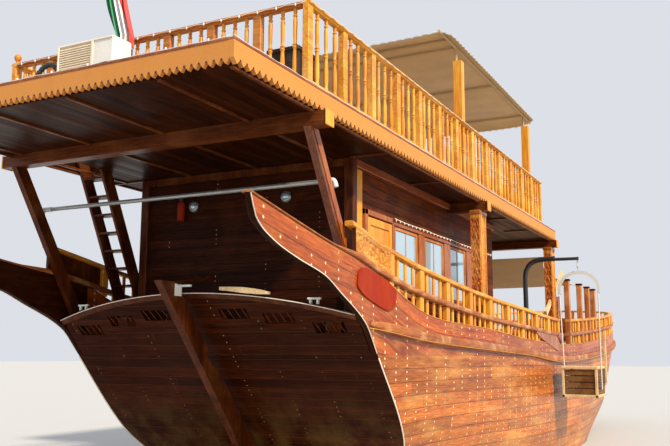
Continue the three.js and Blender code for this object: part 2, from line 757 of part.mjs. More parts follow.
// Awning over the upper deck: four wooden posts, a tube frame and the canvas
const awning = { aft: -5800, fore: 390, half: 2250, z: 7450, thick: 30 };
const awningPosts = [
  { name: "awning_post_aft", x: -4900 },
  { name: "awning_post_fore", x: -300 },
];
const post = { half: 75, y: -upperRail.half + railBar.postHalf + gap, top: 7150 };
awningPosts.forEach(({ name, x }) => {
  const timber = box(x - post.half, x + post.half, post.y, post.y + 2 * post.half, railFoot, post.top);
  pair(name, timber, goldWood);
});
const frame = { y: 2100, z: awning.z - 40, radius: 24, inset: 40, cross: [-5300, -4900, -2600, -300] };
const tube = (from, to) => bar([from, to], frame.radius);
const frameBars = [
  ...[-frame.y, frame.y].map((y) =>
    tube([awning.aft + frame.inset, y, frame.z], [awning.fore - frame.inset, y, frame.z])
  ),
  ...frame.cross.map((x) => tube([x, -frame.y, frame.z], [x, frame.y, frame.z])),
  ...awningPosts.flatMap(({ x }) =>
    [-frame.y, frame.y].map((y) => tube([x, y, post.top + gap], [x, y, frame.z]))
  ),
];
piece("awning_frame", join(frameBars), paintedWhite);
const upperCloth = box(
  awning.aft,
  awning.fore,
  -awning.half,
  awning.half,
  awning.z,
  awning.z + awning.thick
);
piece("upper_awning", upperCloth, canvas);

// Awning over the foredeck, stretched between the upper deck and the tall stanchions
const foreAwning = { aft: 1350, fore: 4500, half: 2150, z: 4150 };
const foreCloth = box(
  foreAwning.aft,
  foreAwning.fore,
  -foreAwning.half,
  foreAwning.half,
  foreAwning.z,
  foreAwning.z + awning.thick
);
piece("fore_awning", foreCloth, canvas);

// On the upper deck: the outdoor unit of the air conditioning, a box, the flagstaff and its flag
piece("aircon_unit", box(-11400, -11090, -280, 560, railFoot, 5560), paintedWhite);
piece("deck_box", box(-10250, -9800, -2000, -1600, railFoot, 5600), blackSteel);
const staff = { x: -10620, y: 360, top: 7900, radius: 22 };
const staffEnds = [railFoot, staff.top].map((z) => [staff.x, staff.y, z]);
piece("flagstaff", bar(staffEnds, staff.radius), paintedWhite);
const flag = { half: 45, fold: 300, bottom: 5750, top: 7700, edge: staff.y - staff.radius - 2 };
const flagFold = box(
  staff.x - flag.half,
  staff.x + flag.half,
  flag.edge - flag.fold,
  flag.edge,
  flag.bottom,
  flag.top
);
piece("flag", flagFold, flagCloth);

// Foredeck hatch: coaming and hinged lid
const coamingTop = deckHeight(hatch.fore) + hatch.coaming;
const insideHalf = hatch.half - hatch.wall;
const shaft = box(hatch.aft + hatch.wall, hatch.fore - hatch.wall, -insideHalf, insideHalf, 0, 9000);
const frameBlock = box(hatch.aft, hatch.fore, -hatch.half, hatch.half, deckZ - sink, coamingTop);
const coaming = cut(frameBlock, [shaft]);
piece("hatch_coaming", fitted(coaming, [hull]), varnish);
const lidFoot = coamingTop + hatch.play;
const lidHalf = hatch.half + hatch.lap;
const lidTop = lidFoot + hatch.lid;
const lid = box(hatch.aft - hatch.lap, hatch.fore + hatch.lap, -lidHalf, lidHalf, lidFoot, lidTop);
piece("hatch_lid", lid, deckTeak);

export default group;
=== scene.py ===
import json
import math

import bmesh
import bpy
import numpy as np
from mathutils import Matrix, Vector

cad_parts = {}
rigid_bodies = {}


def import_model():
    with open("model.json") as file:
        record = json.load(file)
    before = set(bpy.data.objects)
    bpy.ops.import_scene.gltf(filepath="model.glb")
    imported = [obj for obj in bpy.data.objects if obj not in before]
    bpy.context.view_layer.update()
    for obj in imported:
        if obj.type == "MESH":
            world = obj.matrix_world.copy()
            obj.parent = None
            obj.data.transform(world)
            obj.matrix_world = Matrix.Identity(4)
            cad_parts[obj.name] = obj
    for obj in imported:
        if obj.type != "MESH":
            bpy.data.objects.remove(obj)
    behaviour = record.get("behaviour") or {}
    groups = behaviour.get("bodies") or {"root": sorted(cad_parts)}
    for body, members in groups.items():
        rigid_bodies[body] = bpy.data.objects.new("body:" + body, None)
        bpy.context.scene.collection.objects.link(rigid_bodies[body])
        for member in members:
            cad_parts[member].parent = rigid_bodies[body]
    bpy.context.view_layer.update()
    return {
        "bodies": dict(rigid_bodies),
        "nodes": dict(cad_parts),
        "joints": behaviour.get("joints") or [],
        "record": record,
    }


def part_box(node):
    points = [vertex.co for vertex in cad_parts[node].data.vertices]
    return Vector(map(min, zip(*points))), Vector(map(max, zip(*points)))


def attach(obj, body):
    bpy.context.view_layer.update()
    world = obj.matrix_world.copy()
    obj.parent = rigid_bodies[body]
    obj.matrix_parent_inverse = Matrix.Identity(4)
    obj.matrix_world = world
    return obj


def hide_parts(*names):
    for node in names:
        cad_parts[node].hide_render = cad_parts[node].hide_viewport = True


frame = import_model()
nodes = frame["nodes"]
print("frame loaded:", len(nodes), "nodes")

# Camera astern of the starboard quarter, where the photo was taken; metres and degrees
camera = {
    "place": (-18.04, -6.49, 2.105),
    "yaw": 27.2,  # to port of straight ahead
    "pitch": 9.1,
    "roll": 0.27,
    "lens": 44.06,  # mm on a 36 mm wide sensor
}


def makeCamera():
    data = bpy.data.cameras.new("camera")
    data.lens = camera["lens"]
    data.sensor_width = 36
    data.clip_end = 400
    eye = bpy.data.objects.new("camera", data)
    bpy.context.scene.collection.objects.link(eye)
    yaw, pitch = math.radians(camera["yaw"]), math.radians(camera["pitch"])
    ahead = Vector((math.cos(pitch) * math.cos(yaw), math.cos(pitch) * math.sin(yaw), math.sin(pitch)))
    turn = ahead.to_track_quat("-Z", "Y").to_matrix().to_4x4()
    eye.matrix_world = turn
    eye.rotation_euler.rotate_axis("Z", math.radians(camera["roll"]))
    eye.location = camera["place"]
    bpy.context.scene.camera = eye


makeCamera()


# Materials. Each kind of surface has one function, and a table holds the looks of its finishes.

class Wiring:
    # Node tree of one material, with short calls for the nodes it is made of.
    def __init__(self, name):
        self.material = bpy.data.materials.new(name)
        self.material.use_nodes = True
        self.tree = self.material.node_tree
        self.shader = self.tree.nodes["Principled BSDF"]

    def node(self, kind, inputs=None, **settings):
        made = self.tree.nodes.new(kind)
        for key, value in settings.items():
            setattr(made, key, value)
        for key, value in (inputs or {}).items():
            self.feed(made.inputs[key], value)
        return made

    def feed(self, socket, value):
        if isinstance(value, bpy.types.NodeSocket):
            self.tree.links.new(value, socket)
        else:
            socket.default_value = value

    def math(self, operation, a, b=0.0, c=0.0, clamp=False):
        made = self.node("ShaderNodeMath", {0: a, 1: b, 2: c}, operation=operation, use_clamp=clamp)
        return made.outputs[0]

    def times(self, a, b):
        return self.math("MULTIPLY", a, b)

    def plus(self, a, b):
        return self.math("ADD", a, b)

    def less(self, a, b):
        return self.math("SUBTRACT", a, b)

    def luck(self, number):  # white noise from 0 to 1, one value for each whole number
        return self.node("ShaderNodeTexWhiteNoise", {"W": number}, noise_dimensions="1D").outputs[0]

    def place(self, scale=(1, 1, 1), source="Object"):
        coordinates = self.node("ShaderNodeTexCoord").outputs[source]
        return self.node("ShaderNodeMapping", {"Vector": coordinates, "Scale": scale}).outputs[0]

    def axes(self, vector):
        return self.node("ShaderNodeSeparateXYZ", {0: vector}).outputs

    def noise(self, vector, scale, detail=4.0, rough=0.55, distortion=0.0):
        return self.node("ShaderNodeTexNoise", {"Vector": vector, "Scale": scale, "Detail": detail,
                                                "Roughness": rough, "Distortion": distortion}).outputs["Fac"]

    def mix(self, share, a, b, blend="MIX"):
        made = self.node("ShaderNodeMix", {0: share, 6: a, 7: b}, data_type="RGBA", blend_type=blend)
        return made.outputs[2]

    def ramp(self, value, stops, steps="LINEAR"):
        made = self.node("ShaderNodeValToRGB", {"Fac": value})
        ramp = made.color_ramp
        ramp.interpolation = steps
        while len(ramp.elements) < len(stops):
            ramp.elements.new(0.5)
        for element, (position, colour) in zip(ramp.elements, stops):
            element.position = position
            element.color = (*colour, 1)
        return made.outputs["Color"]

    def span(self, value, low, high, toLow=0.0, toHigh=1.0):
        return self.node("ShaderNodeMapRange", {"Value": value, "From Min": low, "From Max": high,
                                                "To Min": toLow, "To Max": toHigh}).outputs[0]

    def bump(self, height, strength, distance):
        inputs = {"Height": height, "Strength": strength, "Distance": distance}
        return self.node("ShaderNodeBump", inputs).outputs[0]

    def finish(self, **sockets):
        for key, value in sockets.items():
            self.feed(self.shader.inputs[key.replace("_", " ")], value)
        return self.material


def opaque(colour):
    return (*colour, 1)


def plankedWood(w, look, along, across, fine, colour):
    # Each plank has its own shade from white noise of its number, seams are dark lines at whole plank numbers
    # and at the butts, and nails are round dots on a grid of plank number against length.
    plank, length, vary = look["plank"], look["butt"], look["vary"]
    number = w.math("DIVIDE", across, plank)
    whole = w.math("FLOOR", number)
    part = w.less(number, whole)
    run = w.math("DIVIDE", w.plus(along, w.times(w.luck(whole), length)), length)
    board = w.plus(w.math("FLOOR", run), w.times(whole, 17.3))
    shade = w.span(w.luck(board), 0, 1, 1 - vary, 1 + vary)
    colour = w.mix(1.0, colour, w.node("ShaderNodeCombineColor", {0: shade, 1: shade, 2: shade}).outputs[0],
                   "MULTIPLY")
    edge = w.times(w.math("MINIMUM", part, w.less(1.0, part)), plank)
    runPart = w.math("FRACT", run)
    butt = w.times(w.math("MINIMUM", runPart, w.less(1.0, runPart)), length)
    seam = w.span(w.math("MINIMUM", edge, butt), look["seam"], look["seam"] * 2.2)
    colour = w.mix(seam, opaque(look["seamColour"]), colour)
    height = w.plus(w.times(fine, 0.15), seam)
    n = look["nail"]
    if n:
        cell = w.math("DIVIDE", along, n["pitch"])
        nailAlong = w.times(w.less(w.math("FRACT", cell), 0.5), n["pitch"])
        nailAcross = w.times(w.less(w.math("ABSOLUTE", w.less(part, 0.5)), n["spread"]), plank)
        away = w.math("SQRT", w.plus(w.times(nailAlong, nailAlong), w.times(nailAcross, nailAcross)))
        luck = w.luck(w.plus(w.math("FLOOR", cell), w.times(whole, 7.7)))
        dot = w.times(w.less(1.0, w.span(away, n["radius"] * 0.7, n["radius"])),
                      w.span(luck, n["missing"], n["missing"] + 0.3))
        drip = w.times(w.span(w.math("ABSOLUTE", nailAlong), n["radius"] * 1.4, 0.0), w.span(fine, 0.5, 0.75))
        streak = w.times(w.times(drip, n["streak"]), w.span(luck, 0.5, 1.0))
        colour = w.mix(w.math("MAXIMUM", dot, streak), colour, opaque(n["colour"]))
        height = w.less(height, w.times(dot, 0.6))
    return colour, height


def woodMaterial(name, look):
    # Varnished timber. Colour runs between three tones by a noise stretched along the grain, under patches of
    # wear from a broader noise.
    look = {**plainWood, **look}
    w = Wiring(name)
    axes = w.axes(w.place(source="UV" if look["uv"] else "Object"))
    along, across = axes[look["along"]], axes[look["across"]]
    third = 0.0 if look["uv"] else axes[3 - look["along"] - look["across"]]
    grainPlace = w.node("ShaderNodeCombineXYZ", {0: w.times(along, 0.06), 1: across, 2: third}).outputs[0]
    fine = w.noise(grainPlace, look["grain"], 6.0, 0.62, 0.4)
    broad = w.noise(grainPlace, look["grain"] * 0.12, 3.0, 0.5)
    figure = w.plus(w.times(fine, 0.6), w.times(broad, 0.4))
    dark, mid, light = look["tones"]
    colour = w.ramp(figure, [(0.34, dark), (0.5, mid), (0.68, light)])
    height = fine
    if "plank" in look:
        colour, height = plankedWood(w, look, along, across, fine, colour)
    if "carving" in look:  # small leaves: cells of a pattern, with painted shade darkening the hollows between them
        cell = w.node("ShaderNodeTexVoronoi", {"Vector": w.place(), "Scale": look["carving"]}).outputs["Distance"]
        hollow = w.span(cell, 0.30, 0.52)
        colour = w.mix(w.times(hollow, 0.75), colour, opaque(dark))
        height = w.less(height, hollow)
    worn = w.span(w.noise(w.place(look["patchScale"]), look["wornScale"], 5.0, 0.6), 0.5, 0.72)
    colour = w.mix(w.times(worn, look["worn"]), colour, opaque(look["wornColour"]))
    if "stain" in look:  # weather and weed, stronger towards the waterline, in streaks that run down
        tall = w.axes(w.place())[2]
        streaks = w.span(w.noise(w.place((1, 1, 0.3)), 2.6, 6.0, 0.65), 0.40, 0.62)
        share = w.times(w.times(w.span(tall, 1.7, 0.1), streaks), look["stain"])
        colour = w.mix(share, colour, opaque(look["stainColour"]))
    rough = w.span(w.noise(grainPlace, 9.0, 3.0), 0.3, 0.7, *look["rough"])
    w.shader.inputs["Specular IOR Level"].default_value = look["shine"]
    w.shader.inputs["Coat Weight"].default_value = look["coat"] * 0.45
    w.shader.inputs["Coat Roughness"].default_value = 0.2
    w.shader.inputs["Coat IOR"].default_value = 1.5
    return w.finish(Base_Color=colour, Roughness=rough, Normal=w.bump(height, look["bump"], 0.004))


# Timber: along and across are axes (0 x, 1 y, 2 z), tones run from dark to light, lengths are metres
plainWood = {"along": 0, "across": 2, "uv": False, "grain": 60.0, "butt": 4.2, "vary": 0.25, "seam": 0.003,
             "seamColour": (0.01, 0.005, 0.003), "nail": None, "worn": 0.3, "wornScale": 1.6,
             "patchScale": (1, 1, 1), "rough": (0.3, 0.5), "bump": 0.35, "shine": 0.3, "coat": 0.1}
nailLook = {"pitch": 0.33, "spread": 0.26, "radius": 0.018, "missing": 0.2, "streak": 0.4,
            "colour": (0.80, 0.58, 0.32)}
hullLook = {
    "across": 1, "uv": True, "plank": 0.19, "seam": 0.0025, "nail": nailLook, "vary": 0.28,
    "tones": [(0.13, 0.022, 0.002), (0.38, 0.090, 0.007), (0.66, 0.22, 0.020)],
    "wornColour": (0.78, 0.40, 0.085), "worn": 0.45, "wornScale": 2.2, "patchScale": (0.4, 1, 1.7),
    "rough": (0.28, 0.46), "coat": 0.2, "bump": 0.5, "seamColour": (0.07, 0.016, 0.003), "shine": 0.25,
    "stain": 0.45, "stainColour": (0.30, 0.15, 0.030)}
# Transom: its near-black tones are painted shade of the raked transom under the upper deck; its stain and nails
# are its own
sternLook = {
    **hullLook, "plank": 0.17, "worn": 0.08, "coat": 0.0, "shine": 0.06,
    "tones": [(0.012, 0.0020, 0.0003), (0.036, 0.0060, 0.0007), (0.078, 0.015, 0.0020)],
    "wornColour": (0.14, 0.04, 0.012), "stain": 0.9, "stainColour": (0.150, 0.085, 0.022),
    "nail": {**nailLook, "pitch": 0.62, "missing": 0.45, "radius": 0.010, "streak": 0.05,
             "colour": (0.34, 0.20, 0.10)}}
gold = {"grain": 40}
woods = {
    "hullPlanks": hullLook,
    "wingPlanks": {**hullLook, "worn": 0.3, "tones": [(0.10, 0.014, 0.001), (0.31, 0.056, 0.005),
                                                      (0.54, 0.14, 0.014)]},
    "sternPlanks": sternLook,
    "sternBoards": {**sternLook, "uv": False, "along": 1, "across": 2},
    "redVarnish": {"tones": [(0.10, 0.018, 0.004), (0.24, 0.050, 0.009), (0.40, 0.11, 0.020)],
                   "wornColour": (0.60, 0.26, 0.09), "rough": (0.2, 0.38), "coat": 0.45},
    "redPosts": {"along": 2, "across": 0,
                 "tones": [(0.12, 0.022, 0.004), (0.28, 0.064, 0.010), (0.46, 0.14, 0.024)],
                 "wornColour": (0.62, 0.28, 0.09), "worn": 0.25, "rough": (0.2, 0.4), "coat": 0.4},
    "strutVarnish": {"along": 2, "across": 1,
                     "tones": [(0.05, 0.010, 0.002), (0.13, 0.027, 0.006), (0.26, 0.070, 0.014)],
                     "wornColour": (0.60, 0.30, 0.14), "worn": 0.4, "rough": (0.2, 0.38), "coat": 0.4},
    # rudderVarnish: a darker copy of strutVarnish, painted shade on the port strut, the stair, the transom's bars
    # and carved panels' backs
    "rudderVarnish": {"along": 2, "across": 1,
                      "tones": [(0.022, 0.0045, 0.001), (0.064, 0.012, 0.0018), (0.15, 0.034, 0.005)],
                      "wornColour": (0.34, 0.11, 0.025), "rough": (0.25, 0.45), "coat": 0.08, "shine": 0.15},
    # darkBoards: near-black tones, painted shade on the upper deck's underside and on the wings' inner faces and
    # lower edges
    "darkBoards": {"across": 1, "plank": 0.14, "vary": 0.4, "butt": 3.1,
                   "tones": [(0.009, 0.0018, 0.0005), (0.026, 0.0050, 0.0010), (0.060, 0.013, 0.0026)],
                   "wornColour": (0.10, 0.028, 0.008), "worn": 0.2, "coat": 0.02, "shine": 0.05},
    # cabinBoards: tones darkened as painted shade of the cabin's sides under the upper deck
    "cabinBoards": {"plank": 0.135, "butt": 2.7,
                    "tones": [(0.030, 0.005, 0.0006), (0.085, 0.015, 0.0018), (0.18, 0.038, 0.0045)],
                    "wornColour": (0.28, 0.09, 0.012), "worn": 0.2, "rough": (0.35, 0.55), "coat": 0.0,
                    "shine": 0.05},
    # bulkheadBoards: tones darkened as painted shade of the aft wall under the upper deck
    "bulkheadBoards": {"along": 1, "plank": 0.135, "butt": 5.0,
                       "tones": [(0.010, 0.0020, 0.0005), (0.032, 0.0060, 0.0010), (0.076, 0.016, 0.003)],
                       "wornColour": (0.15, 0.04, 0.01), "worn": 0.2, "coat": 0.0, "shine": 0.06,
                       "nail": {**nailLook, "pitch": 0.85, "radius": 0.008, "missing": 0.55, "streak": 0.0}},
    "goldPosts": {**gold, "along": 2, "across": 0, "coat": 0.2, "wornColour": (0.90, 0.58, 0.14),
                  "tones": [(0.42, 0.12, 0.006), (0.66, 0.25, 0.015), (0.84, 0.42, 0.035)]},
    "goldRails": {**gold, "tones": [(0.36, 0.10, 0.008), (0.62, 0.25, 0.022), (0.82, 0.42, 0.048)],
                  "wornColour": (0.88, 0.58, 0.18), "worn": 0.45, "rough": (0.32, 0.55), "coat": 0.15},
    "goldCross": {**gold, "along": 1, "tones": [(0.24, 0.06, 0.006), (0.42, 0.13, 0.014), (0.62, 0.25, 0.034)],
                  "wornColour": (0.74, 0.42, 0.12), "worn": 0.35, "rough": (0.32, 0.55), "coat": 0.15},
    "roseFrames": {**gold, "along": 2, "across": 0,
                   "tones": [(0.20, 0.050, 0.009), (0.40, 0.125, 0.026), (0.60, 0.25, 0.07)],
                   "wornColour": (0.78, 0.46, 0.22), "worn": 0.45, "rough": (0.4, 0.6)},
    "beamVarnish": {"along": 1, "tones": [(0.035, 0.008, 0.002), (0.10, 0.022, 0.004), (0.20, 0.050, 0.009)],
                    "wornColour": (0.34, 0.12, 0.03), "rough": (0.25, 0.45), "coat": 0.15, "shine": 0.15},
    "wornCap": {"tones": [(0.14, 0.030, 0.006), (0.30, 0.080, 0.016), (0.50, 0.19, 0.045)],
                "wornColour": (0.62, 0.36, 0.15), "worn": 0.75, "wornScale": 2.6, "rough": (0.35, 0.6),
                "coat": 0.12},
    "paleWood": {**gold, "tones": [(0.44, 0.27, 0.11), (0.62, 0.43, 0.21), (0.80, 0.61, 0.35)],
                 "wornColour": (0.84, 0.72, 0.52), "worn": 0.5, "rough": (0.45, 0.65), "coat": 0.05},
    # slatWood: the slats' dark tone is partly painted shade, the half shade under the step's top board
    "slatWood": {**gold, "tones": [(0.045, 0.015, 0.004), (0.12, 0.045, 0.010), (0.24, 0.11, 0.030)],
                 "wornColour": (0.36, 0.22, 0.09), "worn": 0.4, "rough": (0.45, 0.65), "coat": 0.05},
    "postCarving": {"along": 2, "across": 1, "carving": 27, "worn": 0.35, "wornColour": (0.84, 0.44, 0.12),
                    "tones": [(0.26, 0.040, 0.004), (0.56, 0.150, 0.018), (0.78, 0.30, 0.045)]},
    "postLeaves": {"along": 2, "across": 0, "carving": 21, "worn": 0.35, "wornColour": (0.90, 0.60, 0.18),
                   "tones": [(0.34, 0.085, 0.006), (0.66, 0.26, 0.020), (0.84, 0.44, 0.050)]},
    "goldCarving": {**gold, "carving": 26,
                    "tones": [(0.34, 0.10, 0.008), (0.66, 0.28, 0.030), (0.84, 0.46, 0.070)],
                    "wornColour": (0.90, 0.62, 0.22), "worn": 0.4, "rough": (0.32, 0.55)},
    "teakDeck": {"across": 1, "plank": 0.11, "seam": 0.004, "vary": 0.14, "butt": 3.4, "worn": 0.5, "coat": 0.0,
                 "tones": [(0.30, 0.20, 0.12), (0.42, 0.30, 0.19), (0.54, 0.42, 0.28)],
                 "wornColour": (0.55, 0.50, 0.42), "rough": (0.6, 0.8)},
}


# Paint, metal, cloth, rope and glass

def paintMaterial(name, dark, light, dirt, grime, rough, metal=0.0, shine=0.5):
    # An even colour broken by a fine noise for chalking and a broad one for grime, which gathers in patches.
    w = Wiring(name)
    fine = w.noise(w.place(), 90.0, 4.0)
    broad = w.noise(w.place((1, 1, 0.4)), 3.0, 6.0, 0.65)
    patches = w.times(w.span(broad, 0.5, 0.75), grime)
    colour = w.mix(patches, w.ramp(fine, [(0.3, dark), (0.7, light)]), opaque(dirt))
    w.shader.inputs["Metallic"].default_value = metal
    w.shader.inputs["Specular IOR Level"].default_value = shine
    return w.finish(Base_Color=colour, Roughness=w.span(broad, 0.3, 0.7, *rough), Normal=w.bump(fine, 0.1, 0.002))


def clothMaterial(name, thread, colour, stain, shade, bands=None):
    # A plain weave: two sine waves across the cloth's own UV map, threads over and under, with soft staining.
    w = Wiring(name)
    axes = w.axes(w.place(source="UV"))
    waves = [w.math("SINE", w.times(axes[i], 2 * math.pi / thread)) for i in (0, 1)]
    weave = w.times(*waves)
    patches = w.noise(w.place(), 1.4, 6.0, 0.6)
    if bands:
        tone = w.mix(w.span(patches, 0.3, 0.8, 0.0, 0.14), w.ramp(axes[1], bands, "CONSTANT"), opaque(shade))
    else:
        tone = w.mix(w.span(patches, 0.4, 0.7), opaque(colour), opaque(stain))
        tone = w.mix(w.span(weave, -1, 1, 0, 0.12), tone, opaque(shade))
    w.shader.inputs["Sheen Weight"].default_value = 0.25
    return w.finish(Base_Color=tone, Roughness=0.85, Normal=w.bump(weave, 0.25, 0.0008))


def ropeMaterial(name, lay, dark, light):
    # Laid rope: a slanted sine wave over the UV map, where U runs round the rope and V along it.
    w = Wiring(name)
    axes = w.axes(w.place(source="UV"))
    slant = w.plus(w.times(axes[0], 3.0), w.math("DIVIDE", axes[1], lay))
    strand = w.math("SINE", w.times(slant, 2 * math.pi))
    # the dark half of each strand's wave is painted shade in the grooves between strands
    colour = w.mix(w.span(strand, -1, 0.6), opaque(dark), opaque(light))
    return w.finish(Base_Color=colour, Roughness=0.8, Normal=w.bump(strand, 0.6, 0.004))


def glassMaterial(name):
    # Window glass that mirrors the sky, with a slight ripple in its surface; its pale blue colour is partly a
    # painted sky reflection.
    w = Wiring(name)
    for socket, value in (("Base Color", (0.52, 0.68, 0.78, 1)), ("Roughness", 0.05), ("Metallic", 0.55),
                          ("IOR", 1.5), ("Specular IOR Level", 0.9)):
        w.shader.inputs[socket].default_value = value
    return w.finish(Normal=w.bump(w.noise(w.place(), 2.2, 2.0), 0.05, 0.02))


paints = {  # dark and light tone, dirt and its share, roughness
    "whitePaint": ((0.66, 0.66, 0.62), (0.82, 0.82, 0.78), (0.42, 0.38, 0.30), 0.35, (0.4, 0.6)),
    "creamPaint": ((0.74, 0.66, 0.52), (0.90, 0.85, 0.72), (0.5, 0.3, 0.16), 0.4, (0.45, 0.65)),
    "redPaint": ((0.23, 0.012, 0.0015), (0.32, 0.020, 0.002), (0.44, 0.08, 0.01), 0.3, (0.5, 0.65), 0.0, 0.15),
    "peachPaint": ((0.50, 0.190, 0.036), (0.63, 0.265, 0.060), (0.42, 0.17, 0.05), 0.4, (0.5, 0.65), 0.0, 0.25),
    "tanPaint": ((0.40, 0.28, 0.13), (0.52, 0.37, 0.18), (0.30, 0.20, 0.10), 0.4, (0.5, 0.7)),
    "blackSteel": ((0.010, 0.010, 0.011), (0.026, 0.026, 0.028), (0.09, 0.06, 0.04), 0.4, (0.25, 0.5)),
    "greySteel": ((0.30, 0.31, 0.31), (0.44, 0.45, 0.44), (0.20, 0.14, 0.09), 0.5, (0.3, 0.5), 0.7),
    "paleSteel": ((0.56, 0.57, 0.55), (0.74, 0.75, 0.72), (0.40, 0.33, 0.24), 0.4, (0.4, 0.6), 0.1),
    "bronze": ((0.34, 0.20, 0.08), (0.52, 0.33, 0.14), (0.10, 0.22, 0.16), 0.5, (0.25, 0.45), 0.9),
}
finishes = {name: woodMaterial(name, look) for name, look in woods.items()}
finishes.update({name: paintMaterial(name, *look) for name, look in paints.items()})
finishes["canvas"] = clothMaterial("canvas", 0.004, (0.56, 0.37, 0.15), (0.46, 0.30, 0.12), (0.28, 0.18, 0.08))
finishes["flagCloth"] = clothMaterial("flagCloth", 0.003, None, None, (0.1, 0.1, 0.1), bands=[
    (0.0, (0.03, 0.26, 0.10)), (0.42, (0.86, 0.86, 0.84)), (0.80, (0.60, 0.03, 0.02))])
finishes["whiteRope"] = ropeMaterial("whiteRope", 0.05, (0.40, 0.37, 0.31), (0.80, 0.78, 0.72))
finishes["windowGlass"] = glassMaterial("windowGlass")
print("finishes made:", len(finishes))

# Solids that show as they are, by finish; any other that shows is redVarnish
# darkBoards on upper_deck, sternBoards, bulkheadBoards, cabinBoards, and rudderVarnish on strut_port and stair are
# painted shade
nodeFinishes = {
    "darkBoards": ["keel", "upper_deck"], "sternBoards": ["transom_board"],
    "rudderVarnish": ["transom_cap", "strut_port", "stair", "rudder"], "strutVarnish": ["strut_starboard"],
    "beamVarnish": ["beam_aft", "beam_mid", "beam_fore"], "greySteel": ["cross_pipe"],
    "tanPaint": ["awning_frame"], "bulkheadBoards": ["cabin_wall_aft", "cabin_wall_fore"],
    "blackSteel": ["deck_box"],
    "cabinBoards": ["cabin_wall_port", "cabin_wall_starboard"], "whitePaint": ["flagstaff"],
    "windowGlass": ["window_glass_port", "window_glass_starboard"], "teakDeck": ["hatch_lid"],
    "postLeaves": [f"carved_post_{place}_{side}" for place in ("mid", "fore") for side in ("starboard", "port")],
    "goldPosts": ["fore_door"] + [f"awning_post_{place}_{side}" for place in ("aft", "fore")
                                  for side in ("starboard", "port")],
}


def finishNodes():
    chosen = {node: finishes[name] for name, group in nodeFinishes.items() for node in group}
    for name, solid in nodes.items():
        finish = chosen.get(name, finishes["redVarnish"])
        if not solid.material_slots:
            solid.data.materials.append(finish)
        for one in solid.material_slots:
            one.link = "OBJECT"
            one.material = finish


finishNodes()


# Mesh making. Points come as whole numpy arrays, faces as arrays of four corners.

bothWays = (("starboard", -1), ("port", 1))


def gridFaces(rows, columns, closeRows=False, closeColumns=False):
    # Quad corners of a grid of points numbered row by row; a closed direction joins its last line to its first.
    r = np.arange(rows if closeRows else rows - 1)[:, None]
    c = np.arange(columns if closeColumns else columns - 1)[None, :]
    r1, c1 = (r + 1) % rows, (c + 1) % columns
    return np.stack([r * columns + c, r * columns + c1, r1 * columns + c1, r1 * columns + c], -1).reshape(-1, 4)


def meshObject(name, points, faces, finish, body="root", slot=None, uv=None, smooth=True, which=None):
    # points (n, 3); faces (m, 4), a triangle repeats its last corner; uv is one pair for each point; which is
    # the number of each face's finish, where finish is a list.
    finish = finish if isinstance(finish, list) else [finish]
    mesh = bpy.data.meshes.new(name)
    points = np.asarray(points, np.float32).reshape(-1, 3)
    faces = np.asarray(faces, np.int64).reshape(-1, 4)
    counts = np.where(faces[:, 3] == faces[:, 2], 3, 4)
    keep = np.ones(faces.shape, bool)
    keep[:, 3] = counts == 4
    corners = faces[keep]
    mesh.vertices.add(len(points))
    mesh.vertices.foreach_set("co", points.ravel())
    mesh.loops.add(len(corners))
    mesh.loops.foreach_set("vertex_index", corners.astype(np.int32))
    mesh.polygons.add(len(faces))
    starts = np.concatenate([[0], np.cumsum(counts)[:-1]])
    mesh.polygons.foreach_set("loop_start", starts.astype(np.int32))
    mesh.polygons.foreach_set("use_smooth", np.full(len(faces), smooth))
    if which is not None:
        mesh.polygons.foreach_set("material_index", np.asarray(which, np.int32))
    if uv is not None:
        layer = mesh.uv_layers.new(name="map")
        layer.data.foreach_set("uv", np.asarray(uv, np.float32).reshape(-1, 2)[corners].ravel())
    mesh.update(calc_edges=True)
    mesh.validate()
    made = bpy.data.objects.new(name, mesh)
    bpy.context.scene.collection.objects.link(made)
    for one in finish:
        mesh.materials.append(finishes[one])
    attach(made, body)
    return made


def closeUp(made, distance=1e-5):
    # Merge the seams between patches and turn every face outwards.
    b = bmesh.new()
    b.from_mesh(made.data)
    bmesh.ops.remove_doubles(b, verts=b.verts, dist=distance)
    bmesh.ops.dissolve_degenerate(b, edges=b.edges, dist=distance)
    bmesh.ops.recalc_face_normals(b, faces=b.faces)
    b.to_mesh(made.data)
    b.free()


def sharpen(made, degrees):
    made.data.set_sharp_from_angle(angle=math.radians(degrees))


def shell(name, part, finish, sharp=None, node=None, merge=1e-5, **settings):
    # Closed piece from points and faces; edges sharper than an angle stay sharp, and it may stand for a node.
    made = meshObject(name, *part, finish, **settings)
    closeUp(made, merge)
    if sharp:
        sharpen(made, sharp)
    if node:
        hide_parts(node)
    return made


# A block with bevelled edges: 24 points, each corner of the box drawn in along one of the three axes
signs = np.array([[x, y, z] for x in (-1, 1) for y in (-1, 1) for z in (-1, 1)], float)
blockSigns = np.repeat(signs, 3, axis=0)
blockInset = np.tile(1 - np.eye(3), (8, 1))


def blockFaces():
    # Six faces, twelve edge strips and eight corners, each turned to face away from the middle. A point's number
    # is its corner's place among the signs times three, plus its axis.
    step = (12, 6, 3)
    faces = [[at, at + 1, at + 2, at + 2] for at in range(0, 24, 3)]
    for axis in range(3):
        u, v = (a for a in range(3) if a != axis)
        corners = [su * step[u] + sv * step[v] for su, sv in ((0, 0), (1, 0), (1, 1), (0, 1))]
        faces += [[end + at + axis for at in corners] for end in (0, step[axis])]
        faces += [[at + u, at + step[axis] + u, at + step[axis] + v, at + v] for at in corners]
    faces = np.array(faces)
    a, b, c = (blockSigns * (1 - 0.3 * blockInset))[faces[:, :3]].transpose(1, 0, 2)
    outward = (np.cross(b - a, c - a) * a).sum(1) > 0
    return np.where(outward[:, None], faces, faces[:, [1, 0, 3, 2]])


blockPattern = blockFaces()


